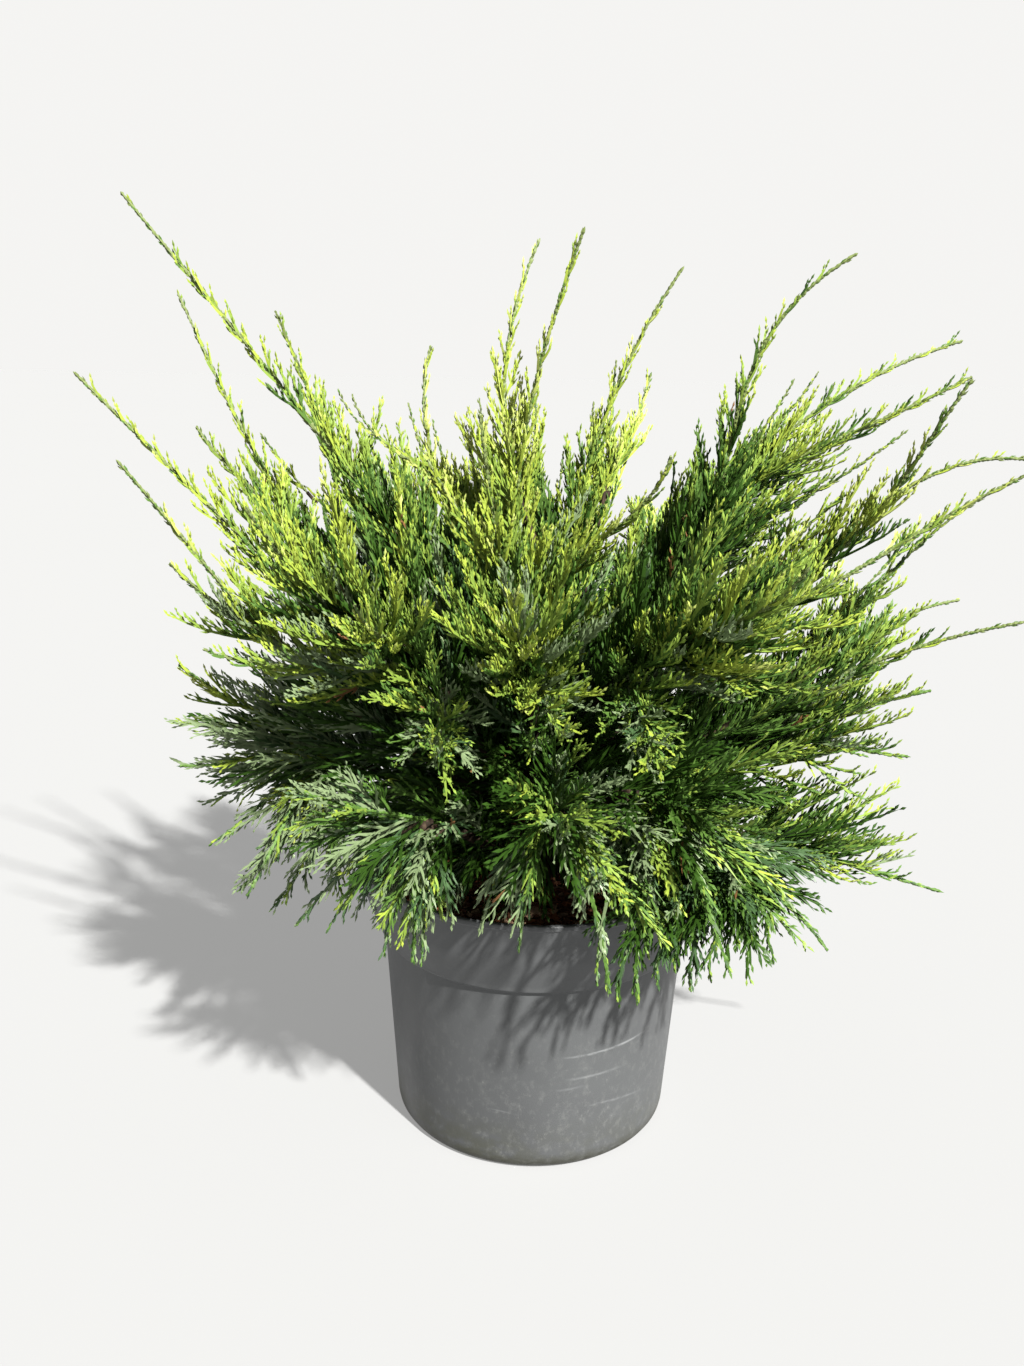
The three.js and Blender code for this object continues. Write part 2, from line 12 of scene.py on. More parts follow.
import bmesh
import bpy
import numpy as np
from mathutils import Matrix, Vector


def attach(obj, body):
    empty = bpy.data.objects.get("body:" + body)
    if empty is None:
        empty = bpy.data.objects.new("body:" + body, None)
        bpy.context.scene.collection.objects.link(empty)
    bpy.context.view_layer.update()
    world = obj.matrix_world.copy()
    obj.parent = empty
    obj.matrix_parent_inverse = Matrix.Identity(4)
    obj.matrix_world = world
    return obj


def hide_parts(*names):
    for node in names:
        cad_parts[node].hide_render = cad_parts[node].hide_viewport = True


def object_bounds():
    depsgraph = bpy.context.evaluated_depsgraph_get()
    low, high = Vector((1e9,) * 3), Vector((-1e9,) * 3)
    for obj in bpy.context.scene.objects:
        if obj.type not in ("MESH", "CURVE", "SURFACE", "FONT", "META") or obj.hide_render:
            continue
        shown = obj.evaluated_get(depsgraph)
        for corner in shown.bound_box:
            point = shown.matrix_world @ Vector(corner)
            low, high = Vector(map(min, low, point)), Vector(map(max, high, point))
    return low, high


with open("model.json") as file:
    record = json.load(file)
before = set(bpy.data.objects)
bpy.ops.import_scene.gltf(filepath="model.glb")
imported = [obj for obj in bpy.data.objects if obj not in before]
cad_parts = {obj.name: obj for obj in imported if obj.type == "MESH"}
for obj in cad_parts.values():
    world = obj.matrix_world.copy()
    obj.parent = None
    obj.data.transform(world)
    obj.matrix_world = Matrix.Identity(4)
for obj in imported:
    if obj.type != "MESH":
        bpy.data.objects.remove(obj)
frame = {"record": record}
cad_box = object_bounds()

MM = 0.001
UP = np.array([0.0, 0.0, 1.0])
LARGEST_PIECE = 190_000  # triangles
DEAD_SHARE = 0.004  # of the branchlets

# Camera: its place in metres, how far it looks down, and its lens
CAMERA_PLACE = (0.0, -0.747, 0.502)
CAMERA_DIP = math.radians(15.03)
CAMERA_TO_LEFT = math.radians(1.38)
CAMERA_ROLL = math.radians(-1.01)
PHOTO_HEIGHT = 1366  # pixels
FOCAL_LENGTH = 1171  # pixels
SENSOR = 36

# Light: a sun lamp from the right, above and in front, with a pale surround
SUN_FROM = (0.42, -0.57, 0.70)
SUN_STRENGTH = 16.0
SUN_WIDTH = 2.2  # degrees
SUN_COLOUR = (1.0, 0.98, 0.94)
SURROUND = (0.912, 0.907, 0.891)
OVERHEAD = (0.30, 0.305, 0.31)
FLOOR_REACH = 60.0  # metres
FLOOR_COLOURS = ((0.2310, 0.2345, 0.2385), (0.2324, 0.2359, 0.2399))
FLOOR_GLOW = 0.33  # share of the floor's brightness that is its own, so that shadows on it stay light

# Pot: the sizes of its solid, with one more point on the collar and finer rings
POT_HEIGHT = 187
POT_FLOOR = 3
POT_WALL = 2.4
BASE_RADIUS = 94.6
BASE_EDGE = 6.5
BODY_TOP = (103, 132)
COLLAR_FOOT = (106.2, 134.5)
COLLAR_LOW = (110.2, 145)
COLLAR_KNEE = (115.4, 158)
LIP_RADIUS = 122.6
LIP_DEPTH = 4
POT_SEGMENTS = 192

# Scratches on the pot: turns in degrees from the front to the right where each starts and ends, its
# height, how far it climbs, its width, and how much it shows
SCRATCHES = [
    (11, 49, 84.5, 3.0, 1.2, 0.80),
    (12, 39, 68.0, 0.8, 1.4, 0.35),
    (9, 22, 60.5, 1.6, 1.4, 0.22),
    (20, 52, 45.5, -6.0, 1.4, 0.30),
    (-16, -4, 44.0, -2.0, 0.8, 0.22),
]

# Bark mulch: a bed much like the solids', with loose chips on it
SOIL_CROWN = 167.7
SOIL_EDGE = 162
SOIL_FLAT = 26
SOIL_SHOULDER = (70, 165.5)
CHIP_COUNT = 1500
CHIP_SIZES = (13, 4.5, 2.2)
CHIP_REACH = COLLAR_KNEE[0] - 9
CHIP_LIFTS = (-0.8, 2.2)
CHIP_TILT = 0.3
CHIP_KINDS = {  # darkest and lightest colour, and share of all chips
    "mulch_brown": ((0.060, 0.026, 0.014), (0.190, 0.080, 0.042), 0.5),
    "mulch_red": ((0.130, 0.042, 0.018), (0.350, 0.130, 0.058), 0.38),
    "mulch_pale": ((0.200, 0.120, 0.075), (0.420, 0.280, 0.180), 0.12),
}
BED_RINGS = 60
BED_SEGMENTS = 180
BED_SUNK = 1.5

# Stem and limbs, as in the solids
TRUNK_FOOT = np.array([6.0, 2.0, 168.0])
TRUNK_TIP = np.array([-4.0, 6.0, 303.0])
TRUNK_FOOT_RADIUS = 13
TRUNK_TIP_RADIUS = 4.6
FLARE_RADIUS = 5
FLARE_HEIGHT = 9
BOUGH_FOOT_RADIUS = 4.2
BOUGH_TIP_RADIUS = 3
BOUGH_SUNK = 6
STEM_TIP_RADIUS = 1.2
GAP = 0.3
BEND = 0.36

# Bark: how deep its relief is, as a share of the radius, and how finely the limbs are divided
TRUNK_RELIEF = 0.07
BOUGH_RELIEF = 0.13
STEM_RELIEF = 0.12
TRUNK_RINGS = 70
TRUNK_SIDES = 44
BARK_STEP = 3.5
BARE_STEM = 0.16  # share of a stem that is bark

# Side shoots, as in the solids but for the least length
SHOOT_STEP = 6.5
GOLDEN_ANGLE = 137.508
SHOOT_ANGLE = 36
SHOOT_ANGLE_SPREAD = 14
SHOOT_SPREAD = 96
SHOOT_LEAST = 9
SHOOT_CURL = 0.5
SHOOT_LIFT = 0.45
TALL = 440
WIDE = 285
BARE_FOOT = 10
CORE_DRAWS = 30  # numbers that the solids' core takes for each stem before the shoots take theirs

# One row for each mass, as in the solids: name, azimuth of its tip, reach and height of its tip, height
# where its bough leaves the stem, the bough's length, and its slope at the foot, elbow and tip.
PLUMES = [
    ("top", -20, 22, 584, 303, 0, 90, 90, 72),
    ("top_left", 129, 129, 517, 279, 60, 70, 72, 80),
    ("top_right", 42, 121, 570, 286, 60, 74, 66, 64),
    ("front_top", -112, 96, 478, 262, 60, 64, 68, 74),
    ("left_high", 176, 265, 603, 260, 110, 58, 60, 44),
    ("left_back", 159, 275, 549, 244, 110, 44, 48, 62),
    ("left_reach", 186, 285, 496, 235, 110, 36, 44, 48),
    ("left_front", 194, 257, 447, 212, 100, 26, 40, 56),
    ("left_low", 183, 236, 312, 194, 90, 16, 30, 40),
    ("right_high", 9, 194, 575, 252, 130, 34, 76, 38),
    ("right_back", 25, 330, 527, 264, 110, 48, 58, 18),
    ("right_reach", 4, 320, 450, 234, 110, 34, 48, -4),
    ("right_mid", -10, 301, 362, 215, 110, 18, 42, 12),
    ("right_low", 0, 257, 303, 199, 100, 12, 34, 14),
    ("right_sweep", -4, 273, 169, 184, 90, 12, 4, -14),
    ("front_left", -140, 205, 430, 221, 80, 44, 58, 60),
    ("front_mid", -94, 190, 400, 234, 80, 44, 60, 58),
    ("front_right", -52, 215, 410, 244, 80, 44, 56, 54),
    ("front_left_low", -124, 222, 292, 184, 80, 20, 34, 34),
    ("front_low", -86, 228, 290, 202, 80, 22, 36, 30),
    ("front_right_low", -60, 240, 285, 212, 80, 20, 32, 22),
    ("front_right_sweep", -36, 212, 178, 192, 80, 20, 6, -46),
    ("back_right", 50, 270, 455, 228, 90, 44, 56, 40),
    ("back_mid", 92, 250, 480, 246, 90, 50, 60, 52),
    ("back_left", 125, 262, 440, 216, 90, 40, 52, 44),
    ("back_low_right", 44, 272, 250, 194, 90, 18, 22, -6),
    ("back_low", 88, 262, 285, 186, 90, 20, 30, 10),
    ("back_low_left", 138, 262, 235, 204, 90, 16, 20, -8),
]

# Forks of each mass, as in the solids: share of the way along its stem, azimuth, reach and height of the
# fork's tip, and its slope where it starts and at the tip.
FORKS = {
    "top": [(0.3, 96, 60, 584, 84, 66)],
    "top_right": [(0.25, 64, 178, 501, 60, 68)],
    "front_top": [(0.2, -55, 120, 458, 62, 70)],
    "left_back": [(0.3, 145, 242, 540, 58, 64)],
    "left_reach": [(0.3, 166, 244, 461, 48, 56)],
    "left_front": [(0.35, 200, 230, 390, 40, 52)],
    "left_low": [(0.3, 193, 232, 256, 10, 6), (0.2, 206, 198, 184, 0, -55)],
    "right_back": [(0.25, 15, 297, 502, 48, 22)],
    "right_reach": [(0.3, -12, 248, 501, 46, 58)],
    "right_mid": [(0.3, 14, 304, 350, 36, 8)],
    "right_low": [(0.3, -11, 236, 272, 22, 2)],
    "front_left": [(0.3, -120, 190, 385, 50, 56)],
    "front_right": [(0.3, -13, 289, 452, 44, 28)],
    "front_left_low": [(0.25, -116, 158, 172, 14, -70)],
    "front_low": [(0.25, -77, 186, 178, 10, -62)],
    "front_right_low": [(0.2, -56, 195, 182, 4, -54)],
    "back_right": [(0.3, 70, 240, 400, 52, 40)],
    "back_mid": [(0.3, 108, 262, 390, 50, 36)],
    "back_left": [(0.3, 146, 262, 370, 44, 34)],
    "back_low": [(0.3, 108, 250, 200, 16, -20)],
}

# Thin leaders and hanging sprays that the solids leave out, in the same form for each mass
SLIM_FORKS = {
    "top": [(0.15, 155, 47, 484, 76, 82), (0.1, 78, 61, 449, 70, 74), (0.05, 60, 66, 400, 60, 70)],
    "top_left": [
        (0.3, 155, 144, 484, 66, 74), (0.35, 150, 166, 487, 60, 68), (0.15, 132, 80, 465, 66, 76),
        (0.2, 138, 104, 468, 66, 76), (0.04, 152, 108, 398, 40, 55),
    ],
    "top_right": [(0.3, 62, 102, 509, 68, 76), (0.15, 62, 68, 482, 70, 78), (0.04, 28, 112, 392, 40, 55)],
    "front_top": [(0.3, -173, 85, 481, 70, 80), (0.04, -62, 96, 385, 40, 60), (0.04, -135, 92, 380, 40, 60)],
    "left_back": [(0.4, 163, 202, 457, 44, 52)],
    "left_low": [
        (0.25, -170, 218, 196, -16, -34), (0.15, -160, 201, 178, -20, -42), (0.1, -152, 186, 174, -22, -44),
        (0.2, -177, 226, 214, -8, -26), (0.2, 176, 220, 228, 5, -24),
    ],
    "right_back": [(0.12, 10, 241, 468, 30, 34), (0.12, 20, 175, 499, 56, 62), (0.2, 26, 208, 504, 54, 56)],
    "right_reach": [(0.15, 0, 193, 431, 44, 30)],
    "right_mid": [(0.3, -8, 284, 445, 52, 28), (0.25, 5, 256, 412, 52, 42)],
    "right_low": [(0.3, -8, 216, 237, 4, -14), (0.12, -14, 186, 246, 0, -10), (0.35, 8, 232, 246, 4, -10)],
    "right_sweep": [(0.15, -4, 200, 236, 34, 8), (0.15, 14, 196, 172, -8, -46)],
    "front_left_low": [
        (0.3, -145, 176, 172, -18, -48), (0.25, -137, 169, 175, -20, -54), (0.2, -124, 156, 168, 2, -74),
        (0.15, -114, 157, 170, 2, -76),
    ],
    "front_low": [(0.12, -93, 150, 184, 8, -80), (0.08, -102, 140, 192, 8, -80)],
    "front_right_low": [(0.12, -79, 184, 182, 4, -65), (0.15, -70, 172, 160, 2, -75)],
    "front_right_sweep": [
        (0.15, -75, 180, 169, -8, -70), (0.2, -67, 178, 173, -8, -66), (0.3, -59, 175, 163, -8, -62),
        (0.45, -53, 186, 175, -8, -50), (0.55, -43, 192, 174, -8, -42), (0.4, -56, 181, 169, -8, -58),
        (0.3, -63, 176, 178, -4, -62), (0.5, -48, 188, 164, -8, -52),
    ],
    "back_low_right": [(0.2, 30, 190, 178, 0, -50), (0.3, 62, 188, 172, 0, -56)],
    "back_low": [(0.15, 80, 176, 174, 4, -64), (0.2, 104, 180, 170, 4, -60)],
    "back_low_left": [(0.25, 124, 186, 172, 0, -58), (0.2, 153, 190, 174, 0, -54)],
}

# Fuller growth between the upper and the lower masses, also left out by the solids
FILLERS = {
    "right_back": [(0.08, 12, 200, 440, 34, 30), (0.05, 6, 172, 410, 28, 24), (0.16, 27, 246, 452, 40, 30)],
    "right_low": [(0.25, -16, 208, 264, 10, 0)],
    "front_left": [(0.1, -106, 198, 322, 20, 44), (0.2, -146, 224, 350, 26, 28)],
    "front_mid": [(0.2, -86, 206, 336, 32, 44)],
    "front_right": [(0.1, -70, 204, 318, 20, 44), (0.2, -46, 226, 348, 26, 24)],
    "back_right": [(0.15, 55, 244, 338, 26, 18), (0.2, 32, 250, 372, 30, 24)],
    "back_mid": [(0.15, 76, 232, 352, 26, 22), (0.1, 98, 214, 330, 20, 16)],
    "back_left": [(0.15, 118, 240, 330, 26, 18), (0.2, 150, 236, 352, 30, 24)],
    "back_low": [(0.15, 74, 214, 236, 14, 0), (0.15, 108, 220, 258, 18, 4)],
}

# Masses that let light through to the pot's collar: the share of their shoots that stand
THINNED = {
    "front_low": 0.45,
    "front_right_low": 0.7,
    "front_left_low": 0.7,
    "left_front": 0.7,
    "left_low": 0.85,
    "right_reach": 0.75,
}

# Painted shade (below 0) and painted light (above 0) for whole masses, added to the tone that the height
# gives
PAINTED_SHADE_AND_LIGHT = {
    "right_high": -0.38,
    "right_back": -0.28,
    "right_reach": -0.08,
    "right_mid": -0.10,
    "right_low": 0.06,
    "right_sweep": 0.12,
    "top_right": -0.06,
    "left_high": -0.18,
    "left_back": -0.18,
    "left_reach": -0.10,
    "left_front": 0.10,
    "left_low": 0.30,
    "front_left": 0.03,
    "front_left_low": 0.08,
    "front_right_sweep": -0.22,
    "front_low": 0.10,
    "front_mid": 0.06,
}

# Where the sky, or the dark heart of the crown, shows between masses: a line from front to back with no
# sprays this near it
CLEARINGS = [
    ((63, -20, 441), (91, 300, 413), 17),
    ((47, -20, 413), (68, 300, 373), 9),
    ((-135, -60, 443), (-198, 260, 415), 12),
    ((-136, -100, 462), (-200, 200, 443), 14),
    ((174, -120, 405), (263, 200, 356), 13),
    ((-55, -260, 314), (-70, -112, 257), 16),
]

# How far, in millimetres, the two handles of a leader's curve are drawn to the right and up: first the
# handle near its foot, then the one near its tip
BOWS = {
    ("top", 0): (-28, 0, -5, 0),
    ("top", 1): (-30, 0, -30, 0),
    ("top_left", 0): (-25, 0, -25, 0),
    ("top_right", 0): (-25, 0, -22, 5),
    ("top_right", 1): (5, 0, -5, 0),
    ("left_high", 0): (-5, -10, -12, -4),
    ("left_back", 0): (-30, -30, 0, 0),
    ("left_back", 1): (20, 0, 5, 0),
    ("left_reach", 0): (-10, 0, 0, 5),
    ("left_reach", 1): (20, 25, 0, 0),
    ("left_front", 0): (-10, -10, 5, 5),
    ("right_high", 0): (40, 0, -30, -5),
    ("right_back", 0): (10, 0, -5, 5),
    ("right_back", 1): (10, -20, 10, 0),
    ("right_back", 5): (20, -10, 5, 0),
    ("right_reach", 0): (30, 0, 0, 10),
    ("right_reach", 1): (20, -20, 0, 0),
    ("right_mid", 0): (10, -10, 5, 0),
    ("right_mid", 1): (10, -5, 0, 0),
    ("front_right", 1): (50, -25, 0, 0),
}

# How one level of growth stands on the one before it; the last number is the lift of growth that hangs
Finer = namedtuple("Finer", (
    "step bare angle angle_spread turn turn_spread least taper longest stretch curl rise lift hanging_lift"
))
BRANCHLETS = Finer(3.75, 5.0, 28, 14, GOLDEN_ANGLE, 20, 4.0, 0.36, 28, 1.35, 0.9, 0.45, 0.4, -0.75)
CORDLETS = Finer(4.9, 2.5, 25, 12, 180, 38, 4.4, 0.38, 10.5, 0.75, 0.8, 0.2, 0.1, 0.1)

# How the shoots give out towards the tip of a stem
Whip = namedtuple("Whip", "length power bare")
LONG_WHIP = (2.6, 12)  # power and bare end of a whip as long as its stem
SHORT = Whip(105, 1.8, 6)
SLIM = Whip(75, 1.0, 2)
WHIP_CLOSING = 0.45  # growth near a tip lies closer to its leader

# Growth that the solids leave out: a shorter shoot between every two, and shoots along the boughs
BETWEEN_SCALE = 0.62
BETWEEN_LEAST = 0.55  # of the way from the tip to the foot of the whip
BOUGH_SHOOT_SCALE = 0.75
BOUGH_BARE = 24
SLIM_SCALE = 0.42
SLIM_THICKNESS = 0.55
FORK_THICKNESS = 0.9
HANGING_SCALE = 0.6  # for the slim forks whose tips hang
HANGING_SLOPE = -15
FILLER_SCALE = 0.7
INNER_SCALE = 0.85  # shoots in the heart of the crown, painted dark as shade, with thicker growth and fewer levels
INNER_BARE = 8
INNER_LEAST = 0.8
# Painted shade: how much darker the shoots in the heart are made
INNER_PAINTED_SHADE = -0.6
INNER_RADIUS = 1.2

# Growth near the pot hangs over instead of rising
HANGING_BELOW = 215
RISING_ABOVE = 345
HANG_REACH = (190, 250)  # growth further out than this holds itself up
LEVEL_TURNS = (14, 34)  # degrees from the right, where low growth stays level
OPEN_BELOW = (140, 300)  # reach and height where the undersides are thin
LOW_GROWTH = 390
LOW_REACH = 250
SHOOT_HANG = -0.55

# How far growth keeps from the pot's lip, from the inside of its collar and from the mulch
POT_MARGIN = 1.5
COLLAR_MARGIN = 7
SOIL_MARGIN = 3
REACH_MARGIN = 8  # past the box of the solids

# Radii of the finer growth
LEADER_RADII = (1.9, 1.15)
SHOOT_RADII = (1.2, 0.65)
BRANCHLET_RADII = (0.95, 0.65)
CORDLET_RADIUS = 0.85
SLIM_LEADER_RADII = (1.1, 0.6)
SHORT_BRANCHLET = 11  # a branchlet shorter than this is as plain as a cordlet
HANGING_PLAIN = 0.55  # share of the cordlets missing from growth that hangs

# The scaly green end of a leader: where it starts and ends, and the waists between its leaves
SCALY_FROM = 0.12
SCALY_TO = 0.995
SCALY_STEP = 1.6
SCALY_WAIST = 0.62

# Short cordlets pressed close along the end of every leader
SCALES_FROM = 0.4
SCALES_TO = 0.985
SCALES_STEP = 2.3
SCALES_ANGLE = 21
SCALES_TURN_SPREAD = 15
SCALES_LENGTH = (10.0, 5.5)
SCALES_RADIUS = 0.8
SCALES_CURL = 0.8
SCALES_LIFT = 0.05
SLIM_SCALES = 0.75
LEADER_TONE = 0.40
LOW_LEADER = 320  # the end of a leader whose tip is lower than this is dark

# How bright growth is, from 0 to about 1. It changes with height, to the right, and near the pot's axis:
# painted light high up and to the right, where the sun falls, and painted shade low down, to the left and
# near the axis
TONE_HEIGHT = 330
TONE_THERE = 0.47
TONE_RISE = 320  # this much higher would be brighter by one
TONE_MOST_RISE = 0.36
TONE_FALL = 520  # and this much lower darker by one
# Painted light and shade to the side: growth to the right, towards the sun, is paler and to the left darker
PAINTED_LIGHT_TO_RIGHT = 0.12
RIGHT_SIDE = (150, 200)  # how far right that is in full, high up and low down
HEART_PAINTED_SHADE = (-0.20, 110, 380)  # painted shade at the axis, how far out it ends, and its greatest height
TONE_SPREAD = 0.13
BRIGHTEST = (0.42, 0.5, 260, 450)  # the least limit, and what is added to it between two heights: painted shade keeps low growth from being bright
TONE_RISE_ALONG = 0.45  # a spray is paler at its tip than at its foot
TONE_LEVEL_AT = 0.6  # of the way along
TONE_FINER_SPREAD = 0.07

# Growth with a blue-green cast: none above the first height, and less often to the right
BLUE_HEIGHTS = (385, 235)
BLUE_CHANCE = 0.58
BLUE_CHANCES = (0.10, 0.80)
BLUE_WIDTH = 260
BLUE_EDGE = 0.24

# Base colours of the sprays, dealt out by height and place, so that they also carry painted light and
# painted shade, and how much each shines
TONES = {
    "deep": ((0.018, 0.046, 0.005), 0.15, "foliage_green"),
    "mid": ((0.055, 0.108, 0.020), 0.15, "foliage_green"),
    "leaf": ((0.136, 0.202, 0.032), 0.15, "foliage_green"),
    "fresh": ((0.204, 0.262, 0.034), 0.15, "foliage_bright"),
    "lime": ((0.262, 0.304, 0.074), 0.15, "foliage_bright"),
    "blue_deep": ((0.034, 0.070, 0.024), 0.35, "foliage_blue"),
    "blue_light": ((0.122, 0.166, 0.080), 0.35, "foliage_blue"),
    "dead": ((0.120, 0.060, 0.024), 0.15, "bark"),
    "leader": ((0.098, 0.126, 0.042), 0.15, "foliage_green"),
}
TONE_EDGES = (0.16, 0.38, 0.60, 0.84)  # between the first five
DEAD_BELOW = 0.5


def unit(vectors):
    size = np.linalg.norm(vectors, axis=-1, keepdims=True)
    return vectors / np.maximum(size, 1e-12)


def between(a, b, share):
    return a + (b - a) * share


def ramped(value, empty, full):
    """From 0 to 1 as a value goes from one limit to the other, and level beyond them."""
    return np.clip((value - empty) / (full - empty), 0, 1)


def turns(count):
    return np.arange(count) * (2 * math.pi / count)


def splayed(forward, turn, opening):
    """Directions that open from limbs by an angle, to the side that a turn in degrees faces."""
    across = unit(np.cross(forward, UP))
    angle = np.radians(turn)
    side = across * np.cos(angle)[..., None] + np.cross(forward, across) * np.sin(angle)[..., None]
    return forward * np.cos(opening) + side * np.sin(opening)


def heading(azimuth, slope):
    a = math.radians(azimuth)
    s = math.radians(slope)
    return np.array([math.cos(a) * math.cos(s), math.sin(a) * math.cos(s), math.sin(s)])


def on_curve(handles, share):
    """Points of Bezier curves at a share of the way along them, and the directions there."""
    level = handles
    while len(level) > 2:
        level = [between(a, b, share) for a, b in zip(level, level[1:])]
    return between(*level, share), unit(level[1] - level[0])


def seeded(seed):
    """The solids' own repeatable numbers from 0 to 1."""
    mask = 0xFFFFFFFF
    state = seed

    def draw():
        nonlocal state
        state = (state + 0x6D2B79F5) & mask
        mixed = ((state ^ (state >> 15)) * (state | 1)) & mask
        mixed ^= (mixed + (((mixed ^ (mixed >> 7)) * (mixed | 61)) & mask)) & mask
        return (mixed ^ (mixed >> 14)) / 4294967296

    return draw


def limb_curve(start, leaving, end, arriving):
    handle = np.linalg.norm(end - start) * BEND
    return [start, start + leaving * handle, end - arriving * handle, end]


def trunk_share(height):
    return (height - TRUNK_FOOT[2]) / (TRUNK_TIP[2] - TRUNK_FOOT[2])


def trunk_radius(height):
    flare = FLARE_RADIUS * np.exp(-(height - TRUNK_FOOT[2]) / FLARE_HEIGHT)
    return between(TRUNK_FOOT_RADIUS, TRUNK_TIP_RADIUS, trunk_share(height)) + flare


# A limb that carries foliage. Its scale is 1 where the solids have it
Stem = namedtuple("Stem", "handles foot_radius whip length scale")


def located(azimuth, reach, height):
    """A place from its turn round the pot's axis, its reach from it and its height."""
    return heading(azimuth, 0) * reach + UP * height


def plan_stem(handles, foot_radius, reach, height, scale=1.0):
    points = on_curve(handles, np.linspace(0, 1, 201)[:, None])[0]
    length = np.linalg.norm(np.diff(points, axis=0), axis=1).sum()
    whip = SLIM if scale in (SLIM_SCALE, HANGING_SCALE) else SHORT
    if height > TALL or reach > WIDE:
        whip = Whip(length, *LONG_WHIP)
    return Stem(handles, foot_radius, whip, length, scale)


def plan_forks(name, stem, foot_radius):
    """The forks of a mass's stem: those of the solids first, then the others."""
    forks = [(fork, 1.0) for fork in FORKS.get(name, [])]
    forks += [(fork, FILLER_SCALE) for fork in FILLERS.get(name, [])]
    for fork in SLIM_FORKS.get(name, []):
        forks.append((fork, HANGING_SCALE if fork[5] < HANGING_SLOPE else SLIM_SCALE))
    planned = []
    for (share, azimuth, reach, height, leave, arrive), scale in forks:
        start = on_curve(stem, share)[0]
        tip = located(azimuth, reach, height)
        curve = limb_curve(start, heading(azimuth, leave), tip, heading(azimuth, arrive))
        radius = between(foot_radius, STEM_TIP_RADIUS, share)
        radius *= FORK_THICKNESS if scale == 1 else SLIM_THICKNESS
        planned.append(plan_stem(curve, radius, reach, height, scale))
    return planned


def plan_plume(row):
    """A mass's bough, or nothing, and its stem and forks."""
    name, azimuth, reach, height, foot_height, bough_length, rise, climb, tip_slope = row
    tip = located(azimuth, reach, height)
    climbing = heading(azimuth, climb)
    bough = None
    elbow = TRUNK_TIP
    if bough_length > 0:
        leaving = heading(azimuth, rise)
        centre = between(TRUNK_FOOT, TRUNK_TIP, trunk_share(foot_height))
        foot = centre + heading(azimuth, 0) * trunk_radius(foot_height)
        elbow = foot + heading(azimuth, (rise + climb) / 2) * bough_length
        bough = limb_curve(foot - leaving * BOUGH_SUNK, leaving, elbow, climbing)
    stem = limb_curve(elbow + climbing * GAP, climbing, tip, heading(azimuth, tip_slope))
    foot_radius = BOUGH_TIP_RADIUS if bough else TRUNK_TIP_RADIUS
    stems = [plan_stem(stem, foot_radius, reach, height), *plan_forks(name, stem, foot_radius)]
    for i, limb in enumerate(stems):
        right_1, up_1, right_2, up_2 = BOWS.get((name, i), (0, 0, 0, 0))
        limb.handles[1] = limb.handles[1] + np.array([right_1, 0, up_1])
        limb.handles[2] = limb.handles[2] + np.array([right_2, 0, up_2])
    return bough, stems


# Many shoots side by side: the handles of their curves, and one number of each kind for each shoot
Shoots = namedtuple("Shoots", "handles length tone blue hang spread inner")


def pick(shoots, which):
    handles, *numbers = shoots
    return Shoots([points[which] for points in handles], *[n[which] for n in numbers])


def shoot_handles(start, forward, leaving, length, curl, lift):
    """A shoot leaves at an angle, then turns forward along its parent and up."""
    half = length[:, None] / 2
    middle = start + leaving * half
    arriving = unit(leaving + forward * curl + UP * lift)
    return [start, middle, middle + arriving * half]


def side_shoots(stem, draw, bare=BARE_FOOT, beyond=0.0, scale=1.0, least=0.0):
    """Start, parent's direction, own direction, length and spread of the shoots along a stem.

    Towards the tip they are shorter and lie closer.
    """
    whip = stem.whip
    first_turn = 360 * draw()
    rows = []
    for i in range(int((stem.length - bare) // SHOOT_STEP)):
        along = bare + i * SHOOT_STEP
        start, forward = on_curve(stem.handles, along / stem.length)
        to_tip = min(1, (stem.length + beyond - along) / whip.length)
        spread = between(WHIP_CLOSING, 1, to_tip)
        opening = math.radians(SHOOT_ANGLE + SHOOT_ANGLE_SPREAD * (draw() - 0.5)) * spread
        leaving = splayed(forward, first_turn + i * GOLDEN_ANGLE, opening)
        length = between(SHOOT_LEAST, SHOOT_SPREAD, to_tip ** whip.power)
        length *= (0.8 + 0.35 * draw()) * scale
        draw()  # the solids take one number more here
        if along < stem.length - whip.bare and length > SHOOT_LEAST * scale and to_tip > least:
            rows.append((start, forward, leaving, length, spread))
    return rows


def clear_of_pot(x, y, z):
    """True for points that are neither in the pot's wall nor in the mulch."""
    radius = np.hypot(x, y)
    inside = (radius < LIP_RADIUS - COLLAR_MARGIN) & (z > SOIL_CROWN + SOIL_MARGIN)
    return inside | (z > POT_HEIGHT + POT_MARGIN) | (radius > LIP_RADIUS + POT_MARGIN)


def clear_of_sky(points):
    good = np.ones(len(points), bool)
    for start, end, radius in CLEARINGS:
        line = np.array(end, float) - start
        share = np.clip((points - start) @ line / (line @ line), 0, 1)
        good &= np.linalg.norm(points - start - share[:, None] * line, axis=1) > radius
    return good


def fits(shoots):
    """True for shoots whose whole length is clear of the pot and the sky, and within the plant's reach."""
    low = np.array(cad_box[0]) / MM - REACH_MARGIN
    high = np.array(cad_box[1]) / MM + REACH_MARGIN
    good = np.ones(len(shoots.length), bool)
    for share in (0.25, 0.5, 0.75, 1.0):
        points = on_curve(shoots.handles, share)[0]
        inside = np.all((points > low) & (points < high), axis=-1)
        good &= clear_of_pot(*points.T) & inside & clear_of_sky(points)
    return good


